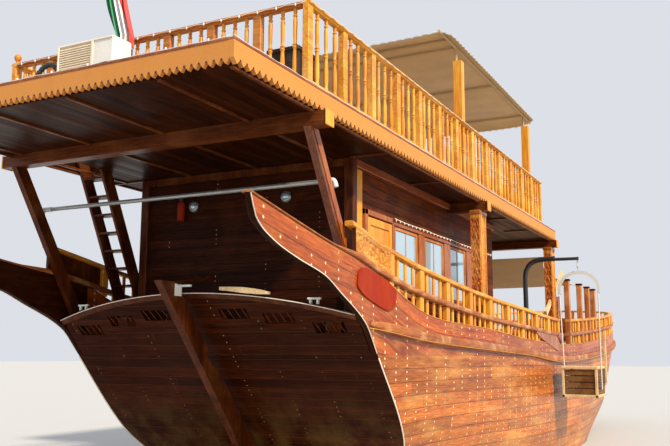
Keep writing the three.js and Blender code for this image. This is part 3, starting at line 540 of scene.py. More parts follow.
def blocks(boxes, bevel=0.004):
    # Points and faces of many bevelled blocks. boxes (n, 6) are x0, x1, y0, y1, z0, z1; the bevel is never more
    # than a third of a side.
    boxes = np.asarray(boxes, float).reshape(-1, 6)
    centre = (boxes[:, 0::2] + boxes[:, 1::2]) / 2
    half = (boxes[:, 1::2] - boxes[:, 0::2]) / 2
    cut = np.minimum(bevel, half / 1.5)[:, None, :]
    points = centre[:, None, :] + blockSigns[None] * (half[:, None, :] - blockInset[None] * cut)
    step = len(blockSigns) * np.arange(len(boxes))[:, None, None]
    return points.reshape(-1, 3), (blockPattern[None] + step).reshape(-1, 4)


def timbers(name, boxes, finish, bevel=0.004, node=None, **settings):
    made = meshObject(name, *blocks(boxes, bevel), finish, smooth=False, **settings)
    if node:
        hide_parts(node)


def sidePieces(name, boxes, finish, bevel, node=None):
    # Boxes given for the starboard side and mirrored to port.
    boxes = np.array(boxes)
    other = boxes[:, [0, 1, 3, 2, 4, 5]] * (1, 1, -1, -1, 1, 1)
    for side, one in (("starboard", boxes), ("port", other)):
        timbers(f"{name}_{side}", one, finish, bevel, node and f"{node}_{side}")


def turned(profile, places, sides=8):
    # Turned pieces: each place is x, y, foot height, height; the profile's rows are height share and radius,
    # carried round in equal steps, with both ends closed on the axis.
    profile = np.asarray(profile, float)
    share = np.concatenate([[profile[0, 0]], profile[:, 0], [profile[-1, 0]]])
    radius = np.concatenate([[0], profile[:, 1], [0]])
    angle = 2 * np.pi * np.arange(sides) / sides
    places = np.asarray(places, float).reshape(-1, 4)
    points = np.empty((len(places), len(share), sides, 3))
    points[..., 0] = places[:, 0, None, None] + radius[None, :, None] * np.cos(angle)
    points[..., 1] = places[:, 1, None, None] + radius[None, :, None] * np.sin(angle)
    points[..., 2] = places[:, 2, None, None] + share[None, :, None] * places[:, 3, None, None]
    faces = gridFaces(len(share), sides, closeColumns=True)
    step = len(share) * sides * np.arange(len(places))[:, None, None]
    return points.reshape(-1, 3), (faces[None] + step).reshape(-1, 4)


def joined(*parts):
    # One set of points and faces from several.
    start = np.cumsum([0] + [len(part[0]) for part in parts[:-1]])
    faces = [part[1] + first for part, first in zip(parts, start)]
    return np.concatenate([part[0] for part in parts]), np.concatenate(faces)


def runAlong(path):
    # Distance of each point of a path from its start.
    return np.concatenate([[0], np.cumsum(np.linalg.norm(np.diff(path, axis=0), axis=1))])


def evenly(path, count):
    # The same path at equal steps of its length.
    run = runAlong(path)
    return np.stack([np.interp(np.linspace(0, run[-1], count), run, path[:, k]) for k in range(3)], 1)


def smoothPath(corners, count):
    # Curve through a few points: in each span a cubic whose slopes come from the points before and after.
    corners = np.asarray(corners, float)
    padded = np.vstack([2 * corners[0] - corners[1], corners, 2 * corners[-1] - corners[-2]])
    t = np.linspace(0, len(corners) - 1, 24 * len(corners))
    i = np.minimum(t.astype(int), len(corners) - 2)
    u = (t - i)[:, None]
    a, b, c, d = padded[i], padded[i + 1], padded[i + 2], padded[i + 3]
    return evenly(0.5 * (2 * b + (c - a) * u + (2 * a - 5 * b + 4 * c - d) * u ** 2
                         + (3 * b - a - 3 * c + d) * u ** 3), count)


def tube(path, radius, sides=10, up=(0, 0, 1)):
    # Round bar: a circle set square to the path at each of its points. The circle's first axis is the path's
    # direction crossed with up. Returns points, faces and a map with turns round and metres along.
    path = np.asarray(path, float)
    ahead = np.gradient(path, axis=0)
    ahead /= np.linalg.norm(ahead, axis=1)[:, None]
    first = np.cross(ahead, up)
    first /= np.linalg.norm(first, axis=1)[:, None]
    second = np.cross(ahead, first)
    angle = 2 * np.pi * np.arange(sides + 1) / sides
    radius = np.broadcast_to(radius, len(path))[:, None, None]
    ring = first[:, None] * np.cos(angle)[None, :, None] + second[:, None] * np.sin(angle)[None, :, None]
    points = np.concatenate([np.repeat(path[:1, None], sides + 1, 1), path[:, None] + ring * radius,
                             np.repeat(path[-1:, None], sides + 1, 1)])
    run = runAlong(path)
    uv = np.stack(np.broadcast_arrays(angle[None, :] / (2 * np.pi), np.pad(run, 1, "edge")[:, None]), -1)
    return points.reshape(-1, 3), gridFaces(len(points), sides + 1), uv.reshape(-1, 2)


def fromTubes(name, parts, finish, **settings):
    return shell(name, joined(*parts), finish, uv=np.concatenate([part[2] for part in parts]), **settings)


def tubes(name, paths, radius, finish, sides=10, up=(0, 0, 1), **settings):
    fromTubes(name, [tube(path, radius, sides, up) for path in paths], finish, **settings)


def swept(ring):
    # Rings of points (rows, count, 3) joined to each other, with both ends closed by a ladder of quads.
    rows, count = ring.shape[:2]
    i = np.arange(count // 2 - 1)
    ladder = np.stack([i, i + 1, count - 2 - i, count - 1 - i], 1)
    faces = [gridFaces(rows, count, closeColumns=True), ladder, (rows - 1) * count + ladder[:, ::-1]]
    return ring.reshape(-1, 3), np.concatenate(faces)


def slab(front, back):
    # Two grids of points, back to back, joined round their rims.
    rows, columns = front.shape[:2]
    count = rows * columns
    grid = gridFaces(rows, columns)
    rim = np.concatenate([np.arange(columns), np.arange(1, rows) * columns + columns - 1,
                          (rows - 1) * columns + np.arange(columns - 2, -1, -1),
                          np.arange(rows - 2, 0, -1) * columns])
    skirt = np.stack([rim, np.roll(rim, -1), np.roll(rim, -1) + count, rim + count], 1)
    points = np.concatenate([front.reshape(-1, 3), back.reshape(-1, 3)])
    return points, np.concatenate([grid, skirt, grid[:, ::-1] + count])


def strip(xs, section):
    # A timber that follows the boat: section(x) gives for every x a ring of (y, z) points.
    ring = section(xs)
    return swept(np.concatenate([np.broadcast_to(xs[:, None, None], (*ring.shape[:2], 1)), ring], -1))


def bothSides(name, part, finish, node=None, reference=None, sharp=35, **settings):
    # The starboard piece and its mirror image; the map is metres along and metres above a reference line.
    points, faces = part
    uv = None
    if reference is not None:
        uv = np.stack([points[:, 0], points[:, 2] - reference(points[:, 0])], 1)
    for side, one in (("starboard", part), ("port", (points * (1, -1, 1), faces[:, ::-1]))):
        shell(f"{name}_{side}", one, finish, sharp, node and f"{node}_{side}", uv=uv, **settings)


# The hull's own lines, in metres: x forward from midships, y to port, z up from the waterline

hull = {
    "transomFoot": -7.09, "rake": 0.885, "keel": -1.45, "deck": 2.10, "plank": 0.08,
    "levels": np.array([-1.45, -1.0, -0.5, 0.0, 1.0]),
    # place (0 sternpost, 1 stem), deck height, half breadths at the five levels and at the deck
    "stations": np.array([
        [0.00, 2.10, 0.100, 0.110, 0.300, 1.480, 2.330, 2.400],
        [0.10, 2.10, 0.110, 0.360, 1.230, 2.000, 2.440, 2.480],
        [0.25, 2.10, 0.120, 1.150, 1.980, 2.400, 2.590, 2.590],
        [0.45, 2.10, 0.120, 1.550, 2.270, 2.570, 2.680, 2.660],
        [0.65, 2.13, 0.120, 1.400, 2.150, 2.500, 2.680, 2.690],
        [0.80, 2.26, 0.120, 0.850, 1.550, 2.020, 2.440, 2.580],
        [0.92, 2.45, 0.110, 0.300, 0.720, 1.120, 1.650, 1.980],
        [1.00, 2.65, 0.095, 0.095, 0.095, 0.095, 0.095, 0.095]]),
    # height, x of the hull's fore end
    "stem": np.array([[-1.45, 6.2], [-1.0, 7.0], [-0.5, 7.9], [0.0, 8.8], [1.0, 10.3], [2.65, 11.7],
                      [3.6, 12.15]]),
    # x, top of the side planking, top of the gunwale cap, top of the handrail
    "sheer": np.array([
        [-11.95, 3.800, 3.620, 3.900], [-10.50, 3.560, 3.395, 3.760], [-9.50, 3.400, 3.265, 3.590],
        [-8.52, 2.960, 3.090, 3.425], [-7.30, 2.640, 2.930, 3.270], [-4.90, 2.535, 2.750, 3.080],
        [-2.60, 2.410, 2.665, 2.980], [0.0, 2.350, 2.590, 2.890], [2.0, 2.390, 2.660, 2.965],
        [5.0, 2.560, 2.840, 3.140], [8.5, 2.830, 3.110, 3.400], [11.7, 3.130, 3.420, 3.690]]),
    # x, lower edge of the stern wing
    "wing": np.array([[-11.95, 3.545], [-11.84, 3.33], [-11.52, 3.17], [-11.04, 3.05], [-10.40, 2.93],
                      [-10.04, 2.79], [-9.30, 2.46], [-8.95, 2.10]]),
    # x, lower edge of the wale
    "wale": np.array([[-9.15, 2.40], [-7.30, 2.26], [-2.60, 2.09], [0.0, 1.96], [4.0, 2.08], [8.0, 2.35],
                      [10.9, 2.66]]),
    "capDepth": 0.075,
    "aperture": {"post": 0.19, "fore": -5.40, "low": -1.20, "high": -0.34, "half": 0.52},
}


def curve(table, column, at):
    # Smooth curve through a table's rows: cubic in each span, with slopes from the rows before and after.
    xs, vs = table[:, 0], table[:, column]
    after = np.minimum(np.arange(len(xs)) + 1, len(xs) - 1)
    before = np.maximum(np.arange(len(xs)) - 1, 0)
    slope = (vs[after] - vs[before]) / (xs[after] - xs[before])
    at = np.clip(at, xs[0], xs[-1])
    i = np.clip(np.searchsorted(xs, at) - 1, 0, len(xs) - 2)
    span = xs[i + 1] - xs[i]
    t = (at - xs[i]) / span
    h = t * t * (3 - 2 * t)
    bend = (1 - t) * slope[i] - t * slope[i + 1]
    return vs[i] * (1 - h) + vs[i + 1] * h + span * t * (1 - t) * bend


def transomX(z):
    return hull["transomFoot"] - hull["rake"] * z


def deckHeightAt(place):
    return curve(hull["stations"], 1, place)


def halfBreadth(place, z):
    # Half breadth at a place along the hull and a height: smooth in both, through the table's own points.
    place, z = np.broadcast_arrays(np.asarray(place, float), np.asarray(z, float))
    breadths = np.stack([curve(hull["stations"], 2 + i, place) for i in range(6)])
    heights = np.stack([np.full(place.shape, level) for level in hull["levels"]] + [deckHeightAt(place)])
    slope = np.gradient(breadths, axis=0) / np.gradient(heights, axis=0)
    i = np.clip((z[None] > heights[1:-1]).sum(0), 0, 4)[None]

    def pick(table, k):
        return np.take_along_axis(table, i + k, 0)[0]

    span = pick(heights, 1) - pick(heights, 0)
    t = np.clip((z - pick(heights, 0)) / span, 0, 1)
    h = t * t * (3 - 2 * t)
    bend = 0.6 * ((1 - t) * pick(slope, 0) - t * pick(slope, 1))
    return pick(breadths, 0) * (1 - h) + pick(breadths, 1) * h + span * t * (1 - t) * bend


def placeOf(x):
    foot = transomX(hull["deck"])
    return np.clip((x - foot) / (curve(hull["stem"], 1, 2.65) - foot), 0, 1)


def sideAt(x):
    # Half breadth of what stands on the hull's edge; the stern wings flare a little.
    return curve(hull["stations"], 7, placeOf(x)) + np.maximum(0, transomX(hull["deck"]) - x) * 0.035


def railLine(x):
    # Middle of the posts, caps and handrails on the starboard side.
    return -(sideAt(x) - 0.04)


def deckAt(x):
    return deckHeightAt(placeOf(x))


def gunwale(x):
    return curve(hull["sheer"], 2, x)


def handrail(x):
    return curve(hull["sheer"], 3, x)


def planking(x):
    return np.minimum(curve(hull["sheer"], 1, x), gunwale(x) - hull["capDepth"])


def sideFoot(x):
    return np.where(x < -8.95, curve(hull["wing"], 1, x), deckAt(x) - 0.012)


def sideMapFoot(x):
    # Where the side planks' map starts, so that seams follow the planks' top.
    return planking(x) - 4.0


def rectRing(y0, y1, z0, z1, bevel):
    # Rectangle with cut corners, one for each x: eight points from the lower edge round.
    b = bevel
    return np.stack([np.stack(np.broadcast_arrays(y, z), -1) for y, z in (
        (y0 + b, z0), (y1 - b, z0), (y1, z0 + b), (y1, z1 - b), (y1 - b, z1), (y0 + b, z1), (y0, z1 - b),
        (y0, z0 + b))], 1)


def roundRing(y, z, halfWide, halfTall, count=12, power=0.55):
    # Rounded section: a circle's sine and cosine drawn out towards a rectangle by a power under one.
    angle = 2 * np.pi * (np.arange(count) + 0.5) / count
    across, up = (np.sign(s) * np.abs(s) ** power for s in (np.cos(angle), np.sin(angle)))
    y, z = np.broadcast_arrays(np.asarray(y, float), np.asarray(z, float))
    return np.stack([y[:, None] + halfWide * across, z[:, None] + halfTall * up], -1)


def cutAperture(made):
    # The propeller's opening through the deadwood: the skin less a box whose aft face follows the sternpost.
    a = hull["aperture"]
    corners = [(x, y, z) for z in (a["low"], a["high"]) for y in (-a["half"], a["half"])
               for x in (transomX(z) + a["post"], a["fore"])]
    sides = [[0, 2, 3, 1], [4, 5, 7, 6], [0, 1, 5, 4], [2, 6, 7, 3], [0, 4, 6, 2], [1, 3, 7, 5]]
    mesh = bpy.data.meshes.new("aperture")
    mesh.from_pydata(corners, [], sides)
    cutter = bpy.data.objects.new("aperture", mesh)
    bpy.context.scene.collection.objects.link(cutter)
    cut = made.modifiers.new("aperture", "BOOLEAN")
    cut.object, cut.operation, cut.solver = cutter, "DIFFERENCE", "EXACT"
    whole = bpy.data.meshes.new_from_object(made.evaluated_get(bpy.context.evaluated_depsgraph_get()))
    made.modifiers.clear()
    made.data = whole
    bpy.data.objects.remove(cutter)
    bpy.data.meshes.remove(mesh)


def makeHull():
    # The hull's skin: a grid of places along and shares of the height, with the deck, the transom, the stem
    # and the keel face as grids between its edges. The map runs along the planks in metres and across them in
    # equal shares of the girth, so that planks narrow to the ends.
    place = np.linspace(0, 1, 170)
    z = hull["keel"] + (deckHeightAt(place) - hull["keel"])[:, None] * np.linspace(0, 1, 46)[None]
    x = transomX(z) + place[:, None] * (curve(hull["stem"], 1, z) - transomX(z))
    y = halfBreadth(place[:, None], z)
    side = np.stack([x, y, z], -1)
    girth = np.pad(np.cumsum(np.hypot(np.diff(y, axis=1), np.diff(z, axis=1)), axis=1), ((0, 0), (1, 0)))
    sideMap = np.stack([x, (girth[:, -1:] - girth) / girth[:, -1:] * girth.max()], -1)

    def acrossFrom(edge, shares):  # from one side's edge straight across to the other's
        return edge[:, None] * (1, 0, 1) + edge[:, None] * (0, 1, 0) * shares[None, :, None]

    shares, ends = np.linspace(-1, 1, 25), np.array([-1.0, 1.0])
    deckGrid, endGrid = acrossFrom(side[:, -1], shares), acrossFrom(side[0], shares)
    stemGrid, keelGrid = acrossFrom(side[-1], ends), acrossFrom(side[:, 0], ends)
    endMap = endGrid[..., 1:] * (1, math.hypot(1, hull["rake"]))
    patches = [(side, sideMap, 0), (side * (1, -1, 1), sideMap, 0), (deckGrid, deckGrid[..., :2], 2),
               (endGrid, endMap, 1), (stemGrid, stemGrid[..., ::2], 0), (keelGrid, keelGrid[..., :2], 0)]
    points, faces = joined(*[(g.reshape(-1, 3), gridFaces(*g.shape[:2])) for g, m, w in patches])
    made = shell("hullSkin", (points, faces), ["hullPlanks", "sternPlanks", "teakDeck"],
                 uv=np.concatenate([m.reshape(-1, 2) for g, m, w in patches]),
                 which=np.concatenate([np.full((g.shape[0] - 1) * (g.shape[1] - 1), w) for g, m, w in patches]))
    cutAperture(made)
    sharpen(made, 30)
    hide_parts("hull")
    print("hull skin:", len(faces), "faces")


def makeSides():
    # Side planking with the stern wings, wales and their light edge lines (the wings' one a painted highlight).
    xs = np.concatenate([np.linspace(-11.95, -8.95, 60), np.linspace(-8.9, 11.0, 170)])
    edge = np.zeros((len(xs) - 1, 8), int)
    edge[:60, [0, 1, 2, 7]] = 1  # painted shade: the wings' inner faces and undersides take darkBoards
    planks = strip(xs, lambda x: rectRing(-sideAt(x), -sideAt(x) + hull["plank"], sideFoot(x), planking(x), 0.008))
    bothSides("sidePlanks", planks, ["wingPlanks", "darkBoards"], "bulwark", sideMapFoot,
              which=np.concatenate([edge.ravel(), np.zeros(6, int)]))

    def waleFull(x):  # the wale tapers to its aft end
        return np.clip((x + 9.24) / 0.5, 0, 1)

    def waleRing(x):
        full = waleFull(x)[:, None] ** 0.5
        return roundRing(-(sideAt(x) + 0.0175 * full[:, 0]), curve(hull["wale"], 1, x) + 0.065, 0.0575 * full,
                         0.065 * full, 14)

    waleXs = np.linspace(-9.19, 10.4, 170)
    bothSides("wale", strip(waleXs, waleRing), "wornCap", "wale")
    for name, lineXs, radius, finish, out, height in (
            ("topLine", np.linspace(-8.6, 10.95, 150), 0.006, "goldRails", lambda x: 0.002,
             lambda x: planking(x) - 0.004),
            ("waleLine", waleXs, 0.005, "goldRails", lambda x: 0.073 * waleFull(x),
             lambda x: curve(hull["wale"], 1, x) + 0.012),
            # the wings' cream line is a painted highlight on their lower outer arris
            ("wingOuterLine", np.linspace(-11.95, -8.97, 60), 0.006, "creamPaint", lambda x: 0.001, sideFoot)):
        line = strip(lineXs, lambda x: roundRing(-(sideAt(x) + out(x)), height(x), radius, radius, 6, 1.0))
        bothSides(name, line, finish)
    print("sides made")


def makeBow():
    # Planks, cap and handrail from where the sides end round to the stem: the outer line is the deck's edge, the
    # inner one lies a thickness square off it, and the ring of both is carried along.
    x = np.linspace(10.97, 11.69, 40)
    outer = np.stack([x, -sideAt(x)], 1)
    ahead = np.gradient(outer, axis=0)
    inward = np.stack([-ahead[:, 1], ahead[:, 0]], 1) / np.linalg.norm(ahead, axis=1)[:, None]
    for name, out, low, high, finish in (
            ("bowPlanks", 0.0, deckAt(x) - 0.012, planking(x), "wingPlanks"),
            ("bowPlankCap", 0.037, planking(x) - 0.003, gunwale(x), "wornCap"),
            ("bowRailEnd", 0.016, handrail(x) - 0.060, handrail(x), "goldRails")):
        lines = [outer - inward * out, outer + inward * (hull["plank"] + out)]
        ring = [np.column_stack([lines[i], z]) for i, z in ((0, low), (0, high), (1, high), (1, low))]
        bothSides(name, swept(np.stack(ring, 1)), finish, reference=sideMapFoot)
    sidePieces("bowEndPosts", [standing(at, 0.09, 0.09, railLine(at), gunwale(at) - 0.002, handrail(at) - 0.055)
                               for at in (11.12, 11.32, 11.50, 11.62)], "goldPosts", 0.008)
    print("bow closed")


makeHull()
makeSides()


# Upper deck's edge: fascia boards with a row of saw teeth, rails with turned spindles

upperDeck = {"aft": -12.10, "fore": 1.25, "half": 2.39, "top": 4.94}
fascia = {"thick": 0.05, "above": 0.02, "depth": 0.172, "toothDepth": 0.052, "tooth": 0.110, "endTooth": 0.085,
          "hole": 0.012, "capDepth": 0.028, "lampPitch": 0.5}
upperRail = {"aft": -10.50, "fore": 0.29, "half": 2.265, "height": 1.05, "firstBay": 0.869, "sideBays": 13,
             "endBays": 7, "spindles": 3, "spindleSides": 10, "low": 0.09, "lampPitch": 0.25}
# turned spindle: share of its height and radius, from the foot
spindleProfile = [(0, 0.024), (0.03, 0.029), (0.05, 0.021), (0.08, 0.026), (0.12, 0.029), (0.30, 0.028),
                  (0.42, 0.021), (0.45, 0.019), (0.47, 0.029), (0.49, 0.020), (0.51, 0.030), (0.53, 0.020),
                  (0.60, 0.023), (0.84, 0.026), (0.88, 0.018), (0.90, 0.028), (0.92, 0.018), (0.95, 0.023),
                  (1.0, 0.024)]
ballProfile = [(0, 0.030), (0.12, 0.030), (0.20, 0.016), (0.30, 0.030), (0.48, 0.046), (0.66, 0.050),
               (0.82, 0.040), (0.94, 0.020), (1.0, 0.006)]


def sagging(along, depth, pitch):
    # Drop of a cord hung at equal steps: the size of a sine.
    return depth * np.abs(np.sin(np.pi * along / pitch))


def sawBoard(length, tooth):
    # Board from 0 to length in u, with its top at v = 0 and teeth along its foot: for each tooth a foot point at
    # its start and its tip in the middle. Points are (u, v, w) with w the thickness; rows are top and teeth.
    f = fascia
    u = np.linspace(0, length, 2 * int(round(length / tooth)) + 1)
    foot = np.full(len(u), -f["depth"])
    foot[1::2] -= f["toothDepth"]
    half = -f["depth"] * 0.5
    rows = np.stack([np.stack(np.broadcast_arrays(u, v, w), -1) for v, w in (
        (0.0, 0.0), (half, 0.0), (foot, 0.0), (foot, f["thick"]), (half, f["thick"]), (0.0, f["thick"]))])
    first = len(u) * np.arange(6)
    last = len(u) - 1 + first
    caps = [first[[0, 1, 4, 5]], first[[1, 2, 3, 4]], last[[5, 4, 1, 0]], last[[4, 3, 2, 1]]]
    return rows.reshape(-1, 3), np.concatenate([gridFaces(6, len(u), closeRows=True), caps])


def makeFascia():
    # Four boards round the deck's edge, each with its cap strip, the row of dark holes over the teeth and a lamp
    # cable; small lamps hang on the stern and fore boards' cables only.
    outer, inner = upperDeck["half"], upperDeck["half"] - fascia["thick"]
    top = upperDeck["top"] + fascia["above"]
    aft, fore = upperDeck["aft"], upperDeck["fore"]
    runs = {  # start of the outer face, direction along it, length, way outwards
        "starboard": ((aft, -outer), (1, 0), fore - aft, (0, -1)),
        "port": ((aft, outer), (1, 0), fore - aft, (0, 1)),
        "stern": ((aft, 0.001 - inner), (0, 1), 2 * inner - 0.002, (-1, 0)),
        "fore": ((fore, 0.001 - inner), (0, 1), 2 * inner - 0.002, (1, 0)),
    }
    holes, lamps, cables = [], [], []
    for run, ((x, y), (ax, ay), length, (ox, oy)) in runs.items():
        def put(u, w, v):  # along the board, inwards from its face, up from its top
            return np.stack(np.broadcast_arrays(x + ax * u - ox * w, y + ay * u - oy * w, top + v), -1)

        tooth = fascia["tooth"] if ax else fascia["endTooth"]
        points, faces = sawBoard(length, tooth)
        board = put(points[:, 0], points[:, 2], points[:, 1])
        cap = [0, length, -0.006, fascia["thick"] + 0.004, 0.0, fascia["capDepth"]]
        capPoints, capFaces = blocks([cap], 0.005)
        shell(f"fascia_{run}Teeth", joined((board, faces), (put(*capPoints.T), capFaces)),
              ["peachPaint", "redVarnish"], node=f"fascia_{run}", smooth=False,
              which=np.repeat([0, 1], [len(faces), len(capFaces)]))
        count = int(round(length / tooth))
        places = put(np.arange(1, count) * length / count, -0.0006, -fascia["depth"] - 0.006)
        holes.append(np.column_stack([places, np.full((count - 1, 2), (ox, oy))]))
        pitch = fascia["lampPitch"]
        if not ax:
            lamps.append(put(np.arange(pitch / 2, length, pitch), 0.012, 0.026))
        along = np.linspace(0, length, 90)
        cables.append(put(along, 0.006, 0.044 - sagging(along, 0.012, pitch)))
    # dark holes: small six-sided black plates against the board, painted shade standing for the holes; each is two
    # rings with their middles
    holes = np.concatenate(holes)
    out = np.pad(holes[:, 3:], ((0, 0), (0, 1)))
    side = np.stack([-holes[:, 4], holes[:, 3], 0 * holes[:, 3]], 1)
    angle = 2 * np.pi * np.arange(6)[None, :, None] / 6
    flat = fascia["hole"] * (np.cos(angle) * side[:, None] + np.sin(angle) * np.array([0, 0, 1]))
    flat = np.pad(flat, ((0, 0), (0, 1), (0, 0)))
    layers = np.array([0.0, 0.003])[None, :, None, None]
    ring = holes[:, None, None, :3] + flat[:, None] + out[:, None, None] * layers
    k = np.arange(6)
    n = (k + 1) % 6
    pattern = np.concatenate([np.stack(corners, 1) for corners in (
        (k, n, n + 7, k + 7), (k + 7, n + 7, k * 0 + 13, k * 0 + 13), (n, k, k * 0 + 6, k * 0 + 6))])
    faces = (pattern[None] + 14 * np.arange(len(holes))[:, None, None]).reshape(-1, 4)
    shell("toothHoles", (ring.reshape(-1, 3), faces), "blackSteel", smooth=False)
    lamps = np.concatenate(lamps)
    shell("edgeLamps", turned([(0, 0.006), (0.35, 0.011), (0.8, 0.010), (1, 0.004)],
                              np.column_stack([lamps, np.full(len(lamps), 0.034)]), 6), "whitePaint")
    tubes("edgeLampCable", cables, 0.004, "whitePaint", 5)
    print("fascia:", len(holes), "teeth")


def makeUpperRails():
    # Each run has square posts, moulded top and bottom rails and turned spindles; balls stand on the two aft
    # corner posts, and a lamp cable hangs along each top rail, with lamps on the stern and fore runs only.
    r = upperRail
    foot, top = upperDeck["top"], upperDeck["top"] + r["height"]
    side = np.concatenate([[r["aft"]], np.linspace(r["aft"] + r["firstBay"], r["fore"], r["sideBays"])])
    end = np.linspace(-r["half"], r["half"], r["endBays"] + 1)
    runs = {
        "starboard": [(x, -r["half"]) for x in side], "port": [(x, r["half"]) for x in side],
        "stern": [(r["aft"], y) for y in end], "fore": [(r["fore"], y) for y in end],
    }
    # moulded top rail, stepped below and broad above, and the plainer bottom rail
    topEdge = [(0.034, -0.060), (0.036, -0.042), (0.056, -0.036), (0.060, -0.022), (0.056, -0.010), (0.040, 0.0)]
    low = r["low"]
    bottomEdge = [(0.030, low), (0.036, low + 0.014), (0.036, low + 0.036), (0.030, low + 0.050)]
    topRail, bottomRail = (np.array([(-e[0][0], e[0][1]), *e, *[(-w, h) for w, h in e[:0:-1]]])
                           for e in (topEdge, bottomEdge))
    lamps, cables = [], []
    for run, posts in runs.items():
        posts = np.array(posts)
        lengthways = run in ("starboard", "port")
        inner = posts if lengthways else posts[1:-1]
        wx, wy = (0.054, 0.040) if lengthways else (0.040, 0.054)
        boxes = [(x - wx - k, x + wx + k, y - wy - k, y + wy + k, foot - 0.003, high)
                 for k, high in ((0.0, top - 0.05), (0.012, foot + 0.06)) for x, y in inner]
        a, b = posts[0], posts[-1]
        ahead = (b - a) / np.linalg.norm(b - a)
        out = np.array([ahead[1], -ahead[0]])
        reach = 0.05 if lengthways else -0.062
        ends = [a - ahead * reach, b + ahead * reach]
        rails = [swept(np.array([[(*(e + out * v), level + w) for v, w in shape] for e in ends]))
                 for shape, level in ((topRail, top), (bottomRail, foot))]
        timber = joined(blocks(boxes, 0.006), *rails)
        shares = (np.arange(r["spindles"]) + 1) / (r["spindles"] + 1)
        places = np.concatenate([posts[:-1] + (posts[1:] - posts[:-1]) * s for s in shares])
        spindleFoot, spindleTop = foot + low + 0.045, top - 0.056
        spindles = turned(spindleProfile, [(x, y, spindleFoot, spindleTop - spindleFoot) for x, y in places],
                          r["spindleSides"])
        shell(f"upper_rail_{run}Turned", joined(timber, spindles),
              ["goldRails" if lengthways else "goldCross", "goldPosts"], 38, f"upper_rail_{run}",
              which=np.repeat([0, 1], [len(timber[1]), len(spindles[1])]))
        length = np.linalg.norm(b - a)
        outward = out if np.dot(out, a + b - np.array([r["aft"] + r["fore"], 0])) > 0 else -out
        along = np.linspace(0, length, int(length / 0.05))
        edge = a + ahead * along[:, None] + outward * 0.066
        cables.append(np.column_stack([edge, top - 0.020 - sagging(along, 0.016, r["lampPitch"])]))
        if not lengthways:
            for u in np.arange(r["lampPitch"] / 2, length, r["lampPitch"]):
                lamps.append((*(a + ahead * u + outward * 0.068), top - 0.058, 0.036))
    shell("railLamps", turned([(0, 0.004), (0.25, 0.0105), (0.65, 0.011), (1, 0.006)], lamps, 6), "whitePaint")
    tubes("railLampCable", cables, 0.004, "whitePaint", 5)
    balls = [(r["aft"], side * r["half"], top - 0.002, 0.15) for side in (-1, 1)]
    shell("railBalls", turned(ballProfile, balls, 20), "goldPosts")
    print("upper rails made")


makeFascia()
makeUpperRails()


# Sides above the deck: gunwale cap, posts and balusters in two tiers, handrail, carved panel

sideRail = {"aft": -9.70, "fore": 0.06, "firstPost": -8.52, "pitch": 0.953, "bays": 9, "panelAft": -9.64,
            "postWide": 0.130, "baluster": 0.062, "handDepth": 0.060}
bowRail = {"aft": 1.12, "fore": 10.60, "bays": 10, "postWide": 0.110, "baluster": 0.055,
           "stanchions": [1.12, 2.48, 3.44, 4.26], "stanchionWide": 0.130, "stanchionTop": 3.83}


def standing(x, wide, deep, y, foot, top):
    return [x - wide / 2, x + wide / 2, y - deep / 2, y + deep / 2, foot, top]


def twoTiers(posts, rail, underHand, underCap):
    # Posts and three balusters a bay, from the side planks to the gunwale cap and from that to the handrail.
    def tiers(x, wide, upper, lower, inwards):
        return [standing(x, wide, upper, railLine(x), gunwale(x) - 0.002, handrail(x) - underHand),
                standing(x, wide, lower, railLine(x) + inwards, planking(x) - 0.003, gunwale(x) - underCap)]

    boxes = [box for x in posts for box in tiers(x, rail["postWide"], 0.090, 0.076, 0.002)]
    for a, b in zip(posts[:-1], posts[1:]):
        for x in a + (b - a) * (np.arange(3) + 1) / 4:
            boxes += tiers(x, rail["baluster"], 0.030, 0.030, 0.0)
    return boxes


def handrailRing(x):
    return roundRing(railLine(x), handrail(x) - 0.030, 0.058, 0.031, 12, 0.4)


def makeSideRails():
    s = sideRail
    posts = s["firstPost"] + s["pitch"] * np.arange(s["bays"] + 1)
    posts = np.concatenate([posts[posts < s["fore"] - 0.03], [s["fore"] - 0.05]])
    sidePieces("sidePosts", twoTiers(posts, s, 0.057, 0.072), "goldPosts", 0.008, "balustrade")

    def capRing(x):  # thin along the wings, full from the carved panel on
        full = np.clip((x + 10.4) / 0.9, 0.3, 1)[:, None]
        return roundRing(railLine(x), gunwale(x) - 0.0775 + 0.040 * full[:, 0], 0.045 + 0.033 * full, 0.040 * full,
                         14)

    # the gunwale ends at the gate in a shaped knee, wide above and hollow below
    kneeXs = s["fore"] + np.array([-0.30, -0.2, -0.1, 0.0, 0.06, 0.12, 0.17, 0.20])
    drop = np.array([0.09, 0.12, 0.17, 0.24, 0.22, 0.15, 0.08, 0.045])

    def kneeRing(x):
        return roundRing(railLine(x), gunwale(x) - 0.01 - drop / 2, 0.086, drop[:, None] / 2, 14)

    # bare plate of reddish timber under the cap at the gate: its lower edge falls towards the gate's post
    plateXs = np.linspace(-1.95, -0.10, 24)

    def plateRing(x):
        foot = gunwale(x) - 0.10 - 0.30 * ((x - x[0]) / (x[-1] - x[0])) ** 0.8
        return rectRing(-(sideAt(x) + 0.014), -(sideAt(x) - 0.004), foot, gunwale(x) - 0.07, 0.003)

    fore = s["fore"] + 0.02
    for name, xs, ring, finish in (("gunwaleCap", np.linspace(-11.95, fore, 170), capRing, "wornCap"),
                                   ("handrail", np.linspace(s["aft"], fore, 150), handrailRing, "goldRails"),
                                   ("gateKnee", kneeXs, kneeRing, "redVarnish"),
                                   ("gatePlate", plateXs, plateRing, "redPosts")):
        bothSides(name, strip(xs, ring), finish)
    print("side rails:", len(posts), "posts")


